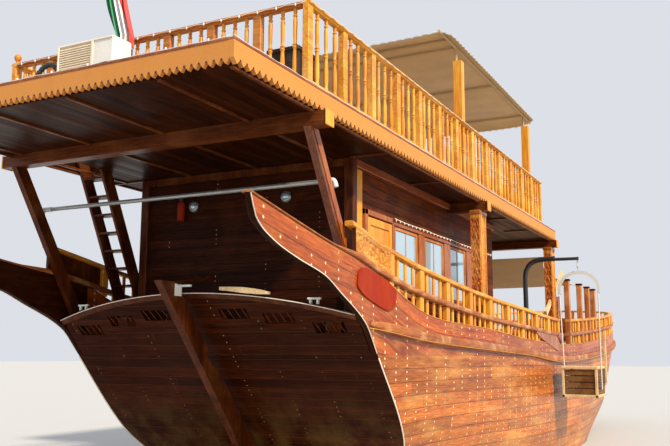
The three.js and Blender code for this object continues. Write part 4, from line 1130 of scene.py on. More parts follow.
def makeCarvedPanel():
    # Golden panel in the balustrade's first bay: relief over a grid of u along and v up, a sum of five
    # spirals (the cosine of turns plus distance from each one's centre) inside a raised border.
    s = sideRail
    u, v = np.meshgrid(np.linspace(0, 1, 90), np.linspace(0, 1, 46), indexing="ij")
    x = s["panelAft"] + 0.02 + (s["firstPost"] - s["postWide"] / 2 - s["panelAft"] - 0.02) * u
    low, high = gunwale(x) - 0.004, handrail(x) - s["handDepth"] + 0.004
    z = low + (high - low) * v
    wide, tall = x[-1, 0] - x[0, 0], float(np.mean(high - low))
    relief = np.zeros(z.shape)
    for cu, cv, turn in ((0.22, 0.62, 1), (0.22, 0.34, -1), (0.5, 0.5, 1), (0.78, 0.62, -1), (0.78, 0.34, 1)):
        du, dv = (u - cu) * wide, (v - cv) * tall
        away = np.hypot(du, dv)
        relief += np.cos(turn * np.arctan2(dv, du) + away * 70) * np.exp(-(away / 0.15) ** 2)
    border = np.minimum(np.minimum(u, 1 - u) * wide, np.minimum(v, 1 - v) * tall)
    inside = np.clip((border - 0.035) / 0.02, 0, 1)
    lift = 0.012 + inside * 0.012 * np.clip(relief, -0.8, 1) + (1 - inside) * 0.014
    front = np.stack([x, -(sideAt(x) - 0.012) - lift, z], -1)
    points, faces = slab(front, np.stack([x, -(sideAt(x) - 0.03), z], -1))
    relieved = (u.shape[0] - 1) * (u.shape[1] - 1)
    for side, way in bothWays:
        # the back and rim take rudderVarnish: painted shade on the side facing inboard
        shell("carvedPanel_" + side, (points * (1, -way, 1), faces), ["goldCarving", "rudderVarnish"], 50,
              which=np.arange(len(faces)) >= relieved)


def makeBowRails():
    b = bowRail
    posts = np.linspace(b["aft"], b["fore"], b["bays"] + 1)
    sidePieces("bowPosts", twoTiers(posts, b, 0.055, 0.070), "goldPosts", 0.008, "bow_rail")
    wide, top = b["stanchionWide"], b["stanchionTop"]
    sidePieces("stanchions", [standing(x, wide, 0.12, railLine(x), planking(x) - 0.003, top - 0.03)
                              for x in b["stanchions"]], "roseFrames", 0.008)
    sidePieces("stanchionHeads", [standing(x, wide + 0.03, 0.15, railLine(x), top - 0.035, top + 0.005)
                                  for x in b["stanchions"]], "darkBoards", 0.01)
    xs = np.linspace(b["aft"] - 0.07, 11.0, 150)
    cap = strip(xs, lambda x: roundRing(railLine(x), gunwale(x) - 0.0375, 0.078, 0.040, 14))
    bothSides("bowCap", cap, "wornCap")
    bothSides("bowHandrail", strip(xs, handrailRing), "goldRails")
    print("bow rails made")


makeSideRails()
makeCarvedPanel()
makeBowRails()
makeBow()


# Under the upper deck: light battens, gold plates at the beams' ends

soffit = {"z": 4.73, "beams": (-10.37, -4.40, 1.02), "beamBottom": 4.57, "wide": 0.045, "deep": 0.022,
          "battens": (-1.48, -0.27, 0.90, 2.10), "cross": (-8.40, -6.40, -2.60, -0.90), "cabinWall": -8.36}


def makeSoffit():
    # Thin battens run lengthwise astern and crosswise over the side decks; every beam ends in a golden plate.
    s = soffit
    low, high, wide = s["z"] - s["deep"], s["z"] + 0.004, s["wide"] / 2
    aft, fore = upperDeck["aft"] + 0.06, upperDeck["fore"] - 0.06
    spans = ((aft, s["beams"][0] - 0.092), (s["beams"][0] + 0.092, s["cabinWall"]))
    boxes = [[a, b, y - wide, y + wide, low, high] for y in s["battens"] for a, b in spans]
    boxes += [[x - wide, x + wide, *sorted((side * 1.76, side * 2.33)), low, high]
              for x in s["cross"] for side in (-1, 1)]
    boxes += [[aft, fore, y - 0.02, y + 0.02, low, high] for y in (-2.325, 2.325)]
    timbers("soffitBattens", boxes, "beamVarnish", 0.004)
    timbers("beamPlates", [[x - 0.095, x + 0.095, *sorted((side * 2.468, side * 2.486)), s["beamBottom"] - 0.008,
                            4.738] for x in s["beams"] for side in (-1, 1)], "goldPosts", 0.007)
    print("soffit:", len(boxes), "battens")


# Cabin: window frames with two lights each, panelled side, door, lights and extinguisher

windows = {"list": [(-6.88, -6.03), (-5.64, -4.83), (-4.44, -3.64), (-3.25, -2.45)], "low": 3.05, "high": 3.95,
           "inside": 0.012, "outside": 0.040}
cabin = {"side": 1.75, "aft": -8.36, "fore": -1.79, "foot": 2.10, "top": 4.73,
         "columns": ((-7.05, -6.91), (-6.0, -5.67), (-4.8, -4.47), (-3.61, -3.28), (-2.42, -2.28)),
         "lights": [(0.83, 4.25), (-0.75, 4.27)], "lampPitch": 0.16, "cableSag": 1.25}


def frameBoxes(a0, a1, z0, z1, inside, outside):
    # Four bars round an opening: spans along the wall and in height.
    return [(a0 - outside, a0 + inside, z0 - outside, z1 + outside),
            (a1 - inside, a1 + outside, z0 - outside, z1 + outside),
            (a0, a1, z1 - inside, z1 + outside), (a0, a1, z0 - outside, z0 + inside)]


def makeCabinSides():
    w, low, high = windows, windows["low"], windows["high"]
    frames, panes, columns, sills, rails, fields = [], [], [], [], [], []
    for side in (-1, 1):
        def against(x0, x1, inwards, outwards, z0, z1):  # box on the cabin's side
            face = side * cabin["side"]
            return [x0, x1, *sorted((face - side * inwards, face + side * outwards)), z0, z1]

        for x0, x1 in w["list"]:
            frames += [against(a, b, 0.05, 0.022, c, d)
                       for a, b, c, d in frameBoxes(x0, x1, low, high, w["inside"], w["outside"])]
            middle = (x0 + x1) / 2
            frames.append(against(middle - 0.020, middle + 0.020, 0.045, 0.010, low, high))
            panes += [against(a, b, -0.002, 0.005, low + 0.01, high - 0.01)
                      for a, b in ((x0 + 0.01, middle - 0.018), (middle + 0.018, x1 - 0.01))]
            fields += [against(x0 + 0.05, x1 - 0.05, 0.005, 0.012, z0, z1)
                       for z0, z1 in ((2.74, 2.94), (2.32, 2.58))]
        sills += [against(-7.02, -2.3, 0.01, 0.045, z0, z1)
                  for z0, z1 in ((low - 0.10, low - 0.042), (high + 0.042, high + 0.10))]
        columns += [against(x0 + 0.035, x1 - 0.035, 0.01, 0.035, low - 0.05, high + 0.05)
                    for x0, x1 in cabin["columns"]]
        rails += [against(cabin["aft"], cabin["fore"], 0.01, 0.05, 4.62, cabin["top"]),
                  against(cabin["aft"], cabin["fore"], 0.01, 0.028, cabin["foot"], 2.26),
                  against(-7.02, -2.3, 0.01, 0.02, 2.62, 2.68)]
    for name, boxes, finish, bevel in (
            ("windowFrames", frames, "roseFrames", 0.006), ("windowPanes", panes, "windowGlass", 0.001),
            ("windowColumns", columns, "redPosts", 0.008), ("windowSills", sills + rails, "redVarnish", 0.008),
            ("panelFields", fields, "cabinBoards", 0.012)):
        timbers(name, boxes, finish, bevel)


def makeDoors():
    # bright door leaf astern of the windows: a field with stiles and rails
    leaf = [[-7.90, -7.06, -1.775, -1.735, 2.13, 3.99]]
    leaf += [[x0, x1, -1.792, -1.77, z0, z1] for x0, x1, z0, z1 in (
        (-7.90, -7.81, 2.13, 3.99), (-7.15, -7.06, 2.13, 3.99), (-7.81, -7.15, 3.88, 3.99),
        (-7.81, -7.15, 2.13, 2.28), (-7.81, -7.15, 2.98, 3.08))]
    timbers("sideDoorLeaf", leaf, "goldPosts", 0.006, "side_door", body="side_door")
    timbers("sideDoorFrame", [[x0, x1, -1.80, -1.74, z0, 4.09] for x0, x1, z0 in (
        (-8.0, -7.91, 2.1), (-7.05, -7.02, 2.1), (-8.0, -7.02, 4.01))], "redPosts", 0.006)
    # golden boards aft of the door: painted sunlight, a lit copy of the dark cabin boards round them
    timbers("quarterPanel", [[-8.26, -8.01, -1.757, -1.748, 2.27, 4.61]], "goldPosts", 0.003)
    points, faces = turned([(0, 0.012), (0.3, 0.012), (0.5, 0.026), (1, 0.018)], [(-7.83, 0, 0, 0.05)], 12)
    points = points[:, [0, 2, 1]] * (1, -1, 1) + (0, -1.79, 3.02)
    shell("sideDoorKnob", (points, faces), "bronze", body="side_door")
    # fore wall: the two windows' frames and the door's
    frame = []
    for y0, y1 in ((-1.45, -0.75), (0.75, 1.45)):
        frame += [[-1.84, -1.785, *bar] for bar in (
            (y0, y0 + 0.05, 3.04, 3.96), (y1 - 0.05, y1, 3.04, 3.96), (y0, y1, 3.04, 3.09), (y0, y1, 3.91, 3.96))]
        frame.append([-1.83, -1.79, (y0 + y1) / 2 - 0.025, (y0 + y1) / 2 + 0.025, 3.05, 3.95])
    frame += [[-1.84, -1.78, *bar] for bar in (
        (-0.47, -0.405, 2.1, 4.06), (0.405, 0.47, 2.1, 4.06), (-0.47, 0.47, 4.005, 4.07))]
    timbers("foreFrames", frame, "roseFrames", 0.006)


def makeAftWall():
    # round bulkhead lights: a turned ring round a domed glass
    for profile, name, finish, deep in (
            ([(0, 0.085), (0.5, 0.085), (0.75, 0.074), (1.0, 0.060)], "bulkheadLights", "greySteel", 0.05),
            ([(0, 0.055), (0.6, 0.055), (0.9, 0.035), (1.0, 0.012)], "bulkheadLightGlass", "windowGlass", 0.075)):
        points, faces = turned(profile, [(-z, y, 0, deep) for y, z in cabin["lights"]], 20)
        shell(name, (np.stack([-8.35 - points[:, 2], points[:, 1], -points[:, 0]], 1), faces), finish)
    # extinguisher in its bracket
    shell("extinguisher", turned([(0, 0.030), (0.02, 0.055), (0.62, 0.055), (0.74, 0.048), (0.82, 0.022),
                                  (0.88, 0.020)], [(-8.42, 1.02, 4.04, 0.36)], 16), "redPaint", slot="varnish")
    timbers("extinguisherHead", [[-8.445, -8.395, 0.99, 1.05, 4.345, 4.385],
                                 [-8.43, -8.41, 0.93, 1.06, 4.385, 4.40]], "blackSteel", 0.004)
    # corner posts and the top and foot rails
    corners = [[-8.40, -8.27, y - 0.07, y + 0.07, 2.1, 4.73] for y in (-1.735, 1.735)]
    corners += [[-8.385, -8.34, -1.7, 1.7, 4.62, 4.73], [-8.385, -8.34, -1.7, 1.7, 2.10, 2.24]]
    timbers("cabinCorners", corners, "rudderVarnish", 0.010)


def makeCabin():
    makeCabinSides()
    makeDoors()
    makeAftWall()
    along = np.linspace(-7.0, -2.0, 80)
    drop = sagging(along + 7.0, 0.012, cabin["cableSag"])
    tubes("cabinLampCable", [np.column_stack([along, np.full(80, -1.812), 4.09 - drop])], 0.006, "creamPaint", 5)
    lamps = [(x, -1.812, 4.05, 0.032) for x in np.arange(-6.95, -2.0, cabin["lampPitch"])]
    shell("cabinLamps", turned([(0, 0.005), (0.3, 0.010), (0.7, 0.010), (1, 0.006)], lamps, 6), "creamPaint")
    print("cabin made")


# Carved posts: relief on the fore and aft face of the shaft, capital and base

carvedPost = {"foot": 2.12, "top": 4.56, "x": (-4.40, 1.02), "y": 2.275, "wide": 0.16}


def makeCarvedPosts():
    # Relief panels: height over a grid of v up and u across, the sum of two sets of crossing waves (a lattice
    # of leaves), cut to a sunk field inside a plain border.
    c = carvedPost
    v, u = np.meshgrid(np.linspace(0, 1, 150), np.linspace(0, 1, 22), indexing="ij")
    wide, tall = c["wide"], c["top"] - c["foot"] - 0.34
    du, dv = (u - 0.5) * wide, v * tall
    leaves = np.sin(dv * 42 + np.abs(du) * 55) * np.cos(du * 60)
    rings = np.cos(dv * 21) * np.sin(np.abs(du) * 90 + 0.6)
    border = np.minimum(np.minimum(u, 1 - u) * wide, np.minimum(v, 1 - v) * tall)
    inside = np.clip((border - 0.014) / 0.008, 0, 1)
    lift = 0.010 + (1 - inside) * 0.006 + inside * 0.009 * np.clip(leaves + 0.6 * rings, -0.5, 1)
    z = c["foot"] + 0.20 + dv
    half = np.interp(z, [2.1, 4.57], [0.145, 0.19])
    for word, side in bothWays:
        for x, place in zip(c["x"], ("mid", "fore")):
            y = side * c["y"]
            parts = [slab(np.stack([x + out * (half + lift), y - side * du, z], -1),
                          np.stack([x + out * (half - 0.01), y - side * du, z], -1)) for out in (-1, 1)]
            shell(f"carving_{place}_{word}", joined(*parts), "postCarving", 50)
            timbers(f"capital_{place}_{word}", [[x - k, x + k, y - deep, y + deep, z0, z1] for k, deep, z0, z1 in (
                (0.200, 0.100, 4.50, 4.565), (0.185, 0.105, 2.10, 2.24), (0.170, 0.095, 2.24, 2.29))],
                    "redPosts", 0.010)
            low, high = sorted((side * 2.360, side * 2.374))
            strips = [[x + k - 0.012, x + k + 0.012, low, high, 2.3, 4.5] for k in (-0.125, 0.125)]
            timbers(f"postFace_{place}_{word}", strips, "goldPosts", 0.006)
    print("carved posts made")


makeSoffit()
makeCabin()
makeCarvedPosts()


# Transom: cap with its light line, bars in the openings, cleats, name plate, rudder fittings

transom = {"half": 2.316, "corner": 2.50, "crown": 2.80, "openings": (0.62, 1.25, 1.90), "openDrop": 0.11,
           "openTall": 0.13, "strut": ((-9.12, 2.58), (-10.37, 4.56))}


def crownAt(y):
    # Height of the transom's arched top edge: a circle's arc through both corners and the crown.
    half, rise = transom["half"], transom["crown"] - transom["corner"]
    radius = (half * half + rise * rise) / (2 * rise)
    return transom["crown"] - radius + np.sqrt(radius * radius - np.asarray(y) ** 2)


def onTransom(y, z, out=0.0):
    # Point on the raked transom's outer plane, moved square off it by out.
    norm = math.hypot(1, hull["rake"])
    y, z = np.broadcast_arrays(np.asarray(y, float), np.asarray(z, float))
    return np.stack([transomX(z) - out / norm, y, z - out * hull["rake"] / norm], -1)


def makeTransom():
    t = transom
    for word, side in bothWays:  # lighter red board on each strut's outer face: painted sunlight on its lit face
        corners = list(zip(np.repeat(t["strut"], 2, 0), (-0.03, 0.08, 0.08, -0.03)))
        ring = [[(x + dx, side * y, z) for (x, z), dx in corners] for y in (2.286, 2.298)]
        shell("strutFace_" + word, swept(np.array(ring)), "redPosts", smooth=False)
    ys = np.linspace(-t["half"], t["half"], 60)
    tubes("transomLine", [onTransom(ys, crownAt(ys) + 0.085, 0.040)], 0.006, "creamPaint", 6, (0.3, 0, 1))
    # slanting bars across the openings, dark varnish as painted shade on their golden timber
    bars = []
    for side in (-1, 1):
        for y in t["openings"]:
            top = crownAt(y) - t["openDrop"]
            for k in np.linspace(-0.16, 0.16, 4):
                a = onTransom(side * y + k - 0.02, top - t["openTall"] - 0.008, -0.012)
                b = onTransom(side * y + k + 0.03, top + 0.008, -0.012)
                bars.append(np.array([a, (a + b) / 2, b]))
    tubes("transomBars", bars, 0.008, "rudderVarnish", 6, (1, 0, 0.2), slot="gold_wood")
    # loose plank that lies on the cap
    y = np.linspace(-1.26, -0.62, 12)
    z = crownAt(y) + 0.120
    wide = np.interp(y, [-1.26, -1.15, -0.95, -0.62], [0.016, 0.030, 0.036, 0.020])
    ring = np.stack([np.stack([transomX(z) - 0.02 + a * 0.05, y, z + b * wide], 1)
                     for a, b in ((-1, -1), (1, -1), (1, 1), (-1, 1))], 1)
    shell("capPlank", swept(ring), "paleWood", smooth=False)
    cleats = []
    for y in (-1.82, 1.82):
        z = crownAt(y) + 0.085
        x = transomX(z)
        cleats += [[x - 0.02, x + 0.02, y + k - 0.015, y + k + 0.015, z - 0.01, z + 0.05] for k in (-0.05, 0.05)]
        cleats.append([x - 0.022, x + 0.022, y - 0.09, y + 0.09, z + 0.045, z + 0.070])
    timbers("transomCleats", cleats, "paleSteel", 0.006)
    # light line down both edges of the transom, where the side planks end
    z = np.linspace(-1.35, 2.06, 40)
    y = halfBreadth(np.zeros(40), z)
    tubes("transomEdges", [np.stack([transomX(z) - 0.004, side * (y + 0.004), z], 1) for side in (-1, 1)], 0.009,
          "creamPaint", 6, (1, 0, 0))
    print("transom made")


def makeNamePlate():
    # Bare plate bent round the quarter's planks: a rounded outline over a grid of u forward and v up.
    u, v = np.meshgrid(np.linspace(-1, 1, 40), np.linspace(-1, 1, 20), indexing="ij")
    squeeze = np.sqrt(np.clip(1 - 0.42 * np.abs(v) ** 4, 0, 1))
    lift = np.sqrt(np.clip(1 - 0.32 * np.abs(u) ** 6, 0, 1))
    x = -9.01 + 0.56 * u * squeeze + 0.03 * v
    z = np.minimum(2.884 - 0.080 * u + (0.178 + 0.010 * u) * v * lift, planking(x) - 0.018)
    plate = slab(*(np.stack([x, -(sideAt(x) + out), z], -1) for out in (0.020, -0.004)))
    shell("quarterPlate", plate, "redPaint", 40)


# Rudder: iron straps that follow its rake and a light's bracket at its head

def makeRudderFittings():
    straps = []
    for z in (0.45, -1.35):
        for side in (-1, 1):
            for x in transomX(z) - 0.20 - 0.05 * np.arange(7):
                straps.append([x - 0.028, x + 0.028, *sorted((side * 0.054, side * 0.066)), z - 0.06, z])
    timbers("rudderStraps", straps, "blackSteel", 0.004, body="rudder")
    x = transomX(2.89)
    timbers("rudderLampBracket", [[x - 0.24, x - 0.10, -0.070, -0.062, 2.815, 2.965],
                                  [x - 0.20, x - 0.165, -0.27, -0.068, 2.925, 2.95]], "whitePaint", 0.003,
            body="rudder")


def makePropeller():
    # Blades: a grid of radius and chord; each blade's pitch angle falls from hub to tip, thickness is a round
    # section thinning to the tip, outline widest near the tip.
    p = {"x": -5.61, "z": -0.77, "radius": 0.368, "hub": 0.075, "blades": 3, "chord": 0.30, "pitch": 0.45}
    r = np.linspace(p["hub"] * 0.8, p["radius"], 16)[:, None]
    share = (r - r[0]) / (r[-1] - r[0])
    chord = p["chord"] * (0.30 + 1.25 * share) * np.sqrt(np.clip(1 - share ** 5, 0.0004, 1)) * 0.75
    angle = 2 * np.pi * np.arange(20)[None] / 20
    along = np.cos(angle) * 0.5 * chord
    across = np.sin(angle) * 0.5 * 0.026 * (1 - 0.75 * share)
    pitch = np.arctan2(p["pitch"], 2 * np.pi * r * 0.9)
    ahead = along * np.sin(pitch) + across * np.cos(pitch)
    turn = (along * np.cos(pitch) - across * np.sin(pitch)) / r
    parts = []
    for k in range(p["blades"]):
        a = 2 * np.pi * k / p["blades"] + turn + np.pi / 2
        points = np.stack([p["x"] + ahead, np.cos(a) * r, p["z"] + np.sin(a) * r], -1)
        centre = points.mean(1, keepdims=True)
        points = np.concatenate([np.repeat(centre[:1], 20, 1), points, np.repeat(centre[-1:], 20, 1)])
        parts.append((points.reshape(-1, 3), gridFaces(len(points), 20, closeColumns=True)))
    profile = [(0, 0.040), (0.15, 0.062), (0.45, 0.075), (0.75, 0.072), (1.0, 0.030)]
    hub, faces = turned(profile, [(0, 0, 0, 0.24)], 20)
    parts.append((np.stack([p["x"] - 0.12 + hub[:, 2], hub[:, 0], p["z"] + hub[:, 1]], 1), faces))
    shell("propellerBlades", joined(*parts), "bronze", node="propeller", merge=1e-6, body="propeller")


makeTransom()
makeNamePlate()
makeRudderFittings()
makePropeller()


# Davit, hoop, falls and boarding step on the starboard side

davitArm = {"x": -0.475, "y": -2.08, "reach": 1.11, "height": 4.118}
hoop = {"foot": 3.475, "rise": 0.350, "radius": 0.400, "ropes": (-3.576, -2.834)}
step = {"aft": -0.85, "fore": 0.10, "outer": -3.555, "inner": -2.855, "low": 1.275, "high": 1.84}


def makeDavit():
    # black arm: thick foot tube, thinner inner tube and collars
    x, y = davitArm["x"], davitArm["y"]
    end = y - davitArm["reach"]
    foot = float(deckAt(x))
    up = (1, 0, 0)
    post = smoothPath([(x, y, foot + 0.005), (x, y, 3.2), (x, y, 3.72), (x, y - 0.035, 3.92), (x, y - 0.14, 4.06),
                       (x, y - 0.32, 4.125), (x, y - 0.62, 4.14)], 50)
    arm = smoothPath([(x, y - 0.56, 4.125), (x, y - 0.8, 4.12), (x, end, davitArm["height"])], 12)
    parts = [tube(post, 0.052, 14, up), tube(arm, 0.034, 12, up)]
    parts += [tube([(x, y - k, 4.138) for k in (0.60, 0.62, 0.64)], 0.058, 14, up),
              tube([(x, y, foot + k) for k in (0.01, 0.04, 0.07)], 0.085, 14, up),
              tube([(x, y - k, davitArm["height"]) for k in (1.105, 1.12, 1.135)], 0.038, 12, up)]
    fromTubes("davitArm", parts, "blackSteel", sharp=40, node="davit", body="davit")
    # link and the curved hook under the arm's end
    t = 2 * np.pi * np.linspace(0, 1, 30)
    link = np.stack([x + 0.022 * np.cos(t), np.full(30, end), 4.085 + 0.040 * np.sin(t)], 1)
    bend = np.radians(np.linspace(180, -60, 24))
    curl = np.stack([x + 0.038 * np.cos(bend), np.full(24, end), 3.915 + 0.038 * np.sin(bend)], 1)
    shank = np.array([(x, end, 4.055), (x, end, 4.01), (x - 0.038, end, 3.95)])
    hook = smoothPath(np.vstack([shank, curl[2:]]), 30)
    tubes("davitLink", [link], 0.008, "greySteel", 8, (0, 1, 0), body="davit")
    tubes("davitHook", [hook], 0.010, "greySteel", 8, (0, 1, 0), body="davit")


def makeHoop():
    # A flat band over half an ellipse, with an eye at each end and two ropes down to the step.
    h, x, middle = hoop, davitArm["x"], davitArm["y"] - davitArm["reach"]
    turn = np.linspace(-0.16, np.pi + 0.16, 50)[:, None]
    corners = np.array([(-0.006, -0.034), (0.006, -0.034), (0.006, 0.034), (-0.006, 0.034)])
    ring = np.stack(np.broadcast_arrays(x + corners[:, 0], middle + np.cos(turn) * (h["radius"] + corners[:, 1]),
                                        h["foot"] + np.sin(turn) * (h["rise"] + corners[:, 1])), -1)
    shell("hoopBand", swept(ring), "paleSteel", 40, "spreader_hoop", slot="white_paint", body="davit")
    t = np.linspace(0, 2 * np.pi, 24)
    ends = [middle + side * h["radius"] * 0.985 for side in (-1, 1)]
    eyes = [np.stack([np.full(24, x), end + 0.022 * np.cos(t), 3.385 + 0.022 * np.sin(t)], 1) for end in ends]
    tubes("hoopEyes", eyes, 0.006, "greySteel", 6, (1, 0, 0), body="davit")
    ropes = [smoothPath([(x, above, 3.37), (x, (above + beside) / 2, 2.63), (x, beside, 1.90), (x, beside, 1.42)],
                        40) for above, beside in zip(ends, h["ropes"])]
    tubes("stepRopes", ropes, 0.013, "whiteRope", 8, (1, 0, 0), slot="white_paint", body="davit")


def makeStep():
    # A box with a broad top board, framed sides filled with dark slats, and a tall plank at its corner.
    aft, fore, outer, inner, low, high = step.values()
    pale = [[aft - 0.012, fore + 0.012, outer - 0.005, inner + 0.005, high, 1.888]]
    pale += [[a, a + 0.05, b, b + 0.05, low, high] for a in (aft, fore - 0.05) for b in (outer, inner - 0.05)]
    pale += [[a, a + 0.04, outer, inner, low, low + 0.05] for a in (aft, fore - 0.04)]
    pale += [[aft, fore, b, b + 0.04, low, low + 0.05] for b in (outer, inner - 0.04)]
    slats = []
    for z in low + 0.06 + 0.125 * np.arange(4):
        slats += [[a, a + 0.018, outer + 0.04, inner - 0.04, z, z + 0.105] for a in (aft + 0.016, fore - 0.034)]
        slats += [[aft + 0.04, fore - 0.04, b, b + 0.018, z, z + 0.105] for b in (outer + 0.016, inner - 0.034)]
    parts = [blocks(pale, 0.006), blocks(slats, 0.004)]
    made = meshObject("boardingStepBox", *joined(*parts), ["paleWood", "slatWood"], smooth=False, body="davit",
                      which=np.repeat([0, 1], [len(faces) for points, faces in parts]))
    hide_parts("boarding_step")
    timbers("stepPlank", [[0.03, 0.075, -3.604, -3.558, 1.55, 2.62], [-0.50, -0.45, -2.848, -2.81, 1.30, 1.47]],
            "paleWood", 0.005, body="davit")


makeDavit()
makeHoop()
makeStep()


# On the decks: air-conditioning unit, pipe ends, planking, deck box, hatch, bitts and the bulwarks' timber heads

aircon = {"x": -11.40, "tall": 0.70, "louvres": 20, "louvrePitch": 0.028}
deckGear = {"planksEdge": 2.335, "well": (-10.15, -9.00, 1.82, 2.32),
            "bitts": ((8.2, 0.45), (8.2, -0.45), (-8.75, 1.7), (-8.75, -1.7)), "headPitch": 0.85}


def makeAircon():
    # louvred grille on the left half of its aft face, panel joints, handle slot and the black hose
    x = aircon["x"]
    low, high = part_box("aircon_unit")
    body = [low[0], high[0], low[1], high[1], low[2], low[2] + aircon["tall"]]
    timbers("airconBody", [body], "whitePaint", 0.018, "aircon_unit")
    light = [[x - 0.014, x - 0.001, 0.04, 0.53, z, z + 0.015]
             for z in 5.03 + aircon["louvrePitch"] * np.arange(aircon["louvres"])]
    light += [[x - 0.016, x - 0.001, 0.01, 0.045, 5.0, 5.61], [x - 0.016, x - 0.001, 0.53, 0.555, 5.0, 5.61],
              [x - 0.012, x - 0.001, -0.27, 0.01, 4.985, 5.0], [x - 0.012, x - 0.001, -0.27, 0.555, 5.61, 5.63]]
    timbers("airconLouvres", light, "creamPaint", 0.004)
    hose = smoothPath([(-11.33, 0.555, 5.22), (-11.34, 0.60, 5.34), (-11.36, 0.70, 5.45), (-11.38, 0.84, 5.40),
                       (-11.40, 0.93, 5.22), (-11.40, 0.95, 4.96)], 70)
    tubes("airconHose", [hose], 0.030 + 0.004 * np.sin(np.arange(70) * 1.6), "blackSteel", 10, (1, 0, 0))
    timbers("airconGrille", [[x - 0.004, x + 0.002, 0.045, 0.53, 5.02, 5.60]], "tanPaint", 0.001)
    # black strips for the handle slots: painted shade in their recesses
    timbers("airconDark", [[x - 0.006, x + 0.002, -0.20, -0.08, 5.30, 5.335],
                           [-11.33, -11.17, -0.2815, -0.279, 5.32, 5.36]], "blackSteel", 0.001)


def makeDeckGear():
    # ends of the cross pipe, each a pale elbow against its strut
    elbows = [smoothPath([(-9.88, side * 2.12, 4.07), (-9.88, side * 2.20, 4.07), (-9.88, side * 2.275, 4.065),
                          (-9.87, side * 2.30, 3.99)], 16) for side in (-1, 1)]
    tubes("pipeEnds", elbows, 0.034, "paleSteel", 10, (1, 0, 0))
    # deck planking round the stair's well
    edge, well = deckGear["planksEdge"], deckGear["well"]
    deck = [[-12.04, well[0], -edge, edge], [well[1], 1.19, -edge, edge], [well[0], well[1], -edge, well[2]],
            [well[0], well[1], well[3], edge]]
    timbers("upperPlanking", [[*one, 4.938, 4.9435] for one in deck], "teakDeck", 0.001)
    timbers("deckBoxLid", [[-10.27, -9.78, -2.02, -1.58, 5.56, 5.612], [-10.255, -10.245, -1.9, -1.84, 5.42, 5.54],
                           [-10.255, -10.245, -1.74, -1.68, 5.42, 5.54]], "blackSteel", 0.008)
    battens = [[4.62, 5.48, y - 0.03, y + 0.03, 2.43, 2.4465] for y in (-0.3, 0.0, 0.3)]
    timbers("hatchBattens", battens, "redVarnish", 0.004, body="hatch_lid")
    bitts = [standing(x, 0.16, 0.16, y, deckAt(x) - 0.01, deckAt(x) + 0.52) for x, y in deckGear["bitts"]]
    timbers("bitts", bitts + [[8.14, 8.26, -0.7, 0.7, 2.68, 2.80]], "redPosts", 0.016)
    # timber heads on the side planks' inner face
    sidePieces("timberHeads", [[x - 0.045, x + 0.045, 0.074 - sideAt(x), 0.13 - sideAt(x), deckAt(x) - 0.01,
                                planking(x) - 0.01] for x in np.arange(-7.9, 9.6, deckGear["headPitch"])],
               "redPosts", 0.01)
    print("deck gear made")


makeAircon()
makeDeckGear()


# Awnings and flag: sheets of cloth, each one continuous surface

upperAwning = {"aft": -5.80, "fore": 0.39, "half": 2.25, "z": 7.452, "bars": (-5.30, -4.90, -2.60, -0.30),
               "corner": 0.42, "sag": 0.055, "edgeDrop": 0.10, "lacing": 0.155, "flat": (6.19, 4.5)}
foreAwning = {"aft": 1.33, "fore": 4.46, "half": 2.13, "zAft": 4.40, "zFore": 3.98, "hollow": 0.34, "sag": 0.10,
              "flat": (3.13, 4.26)}
flag = {"x": -10.66, "long": 1.72, "tall": 0.95, "middle": 7.20, "fold": 0.066, "pitch": 0.25, "droop": 75}


def cloth(name, grid, uv, finish, node, thick=0.003):
    # A sheet with its two faces and hemmed edge: the grid offset by the thickness along its own normals.
    normal = np.cross(np.gradient(grid, axis=0), np.gradient(grid, axis=1))
    normal /= np.maximum(np.linalg.norm(normal, axis=-1, keepdims=True), 1e-9)
    return shell(name, slab(grid + normal * thick / 2, grid - normal * thick / 2), finish, 60, node,
                 uv=np.concatenate([uv.reshape(-1, 2)] * 2))


def roundedRectangle(u, v, halfLong, halfWide, radius):
    # Grid squeezed into a rectangle with round corners: near each corner points slide onto the arc.
    x, y = u * halfLong, v * halfWide
    cx, cy = halfLong - radius, halfWide - radius
    ax, ay = np.abs(x) - cx, np.abs(y) - cy
    inside = (ax > 0) & (ay > 0)
    squeeze = np.where(inside, np.maximum(ax, ay) / np.maximum(np.hypot(ax, ay), 1e-9), 1.0)
    return (np.where(inside, np.sign(x) * (cx + ax * squeeze), x),
            np.where(inside, np.sign(y) * (cy + ay * squeeze), y))


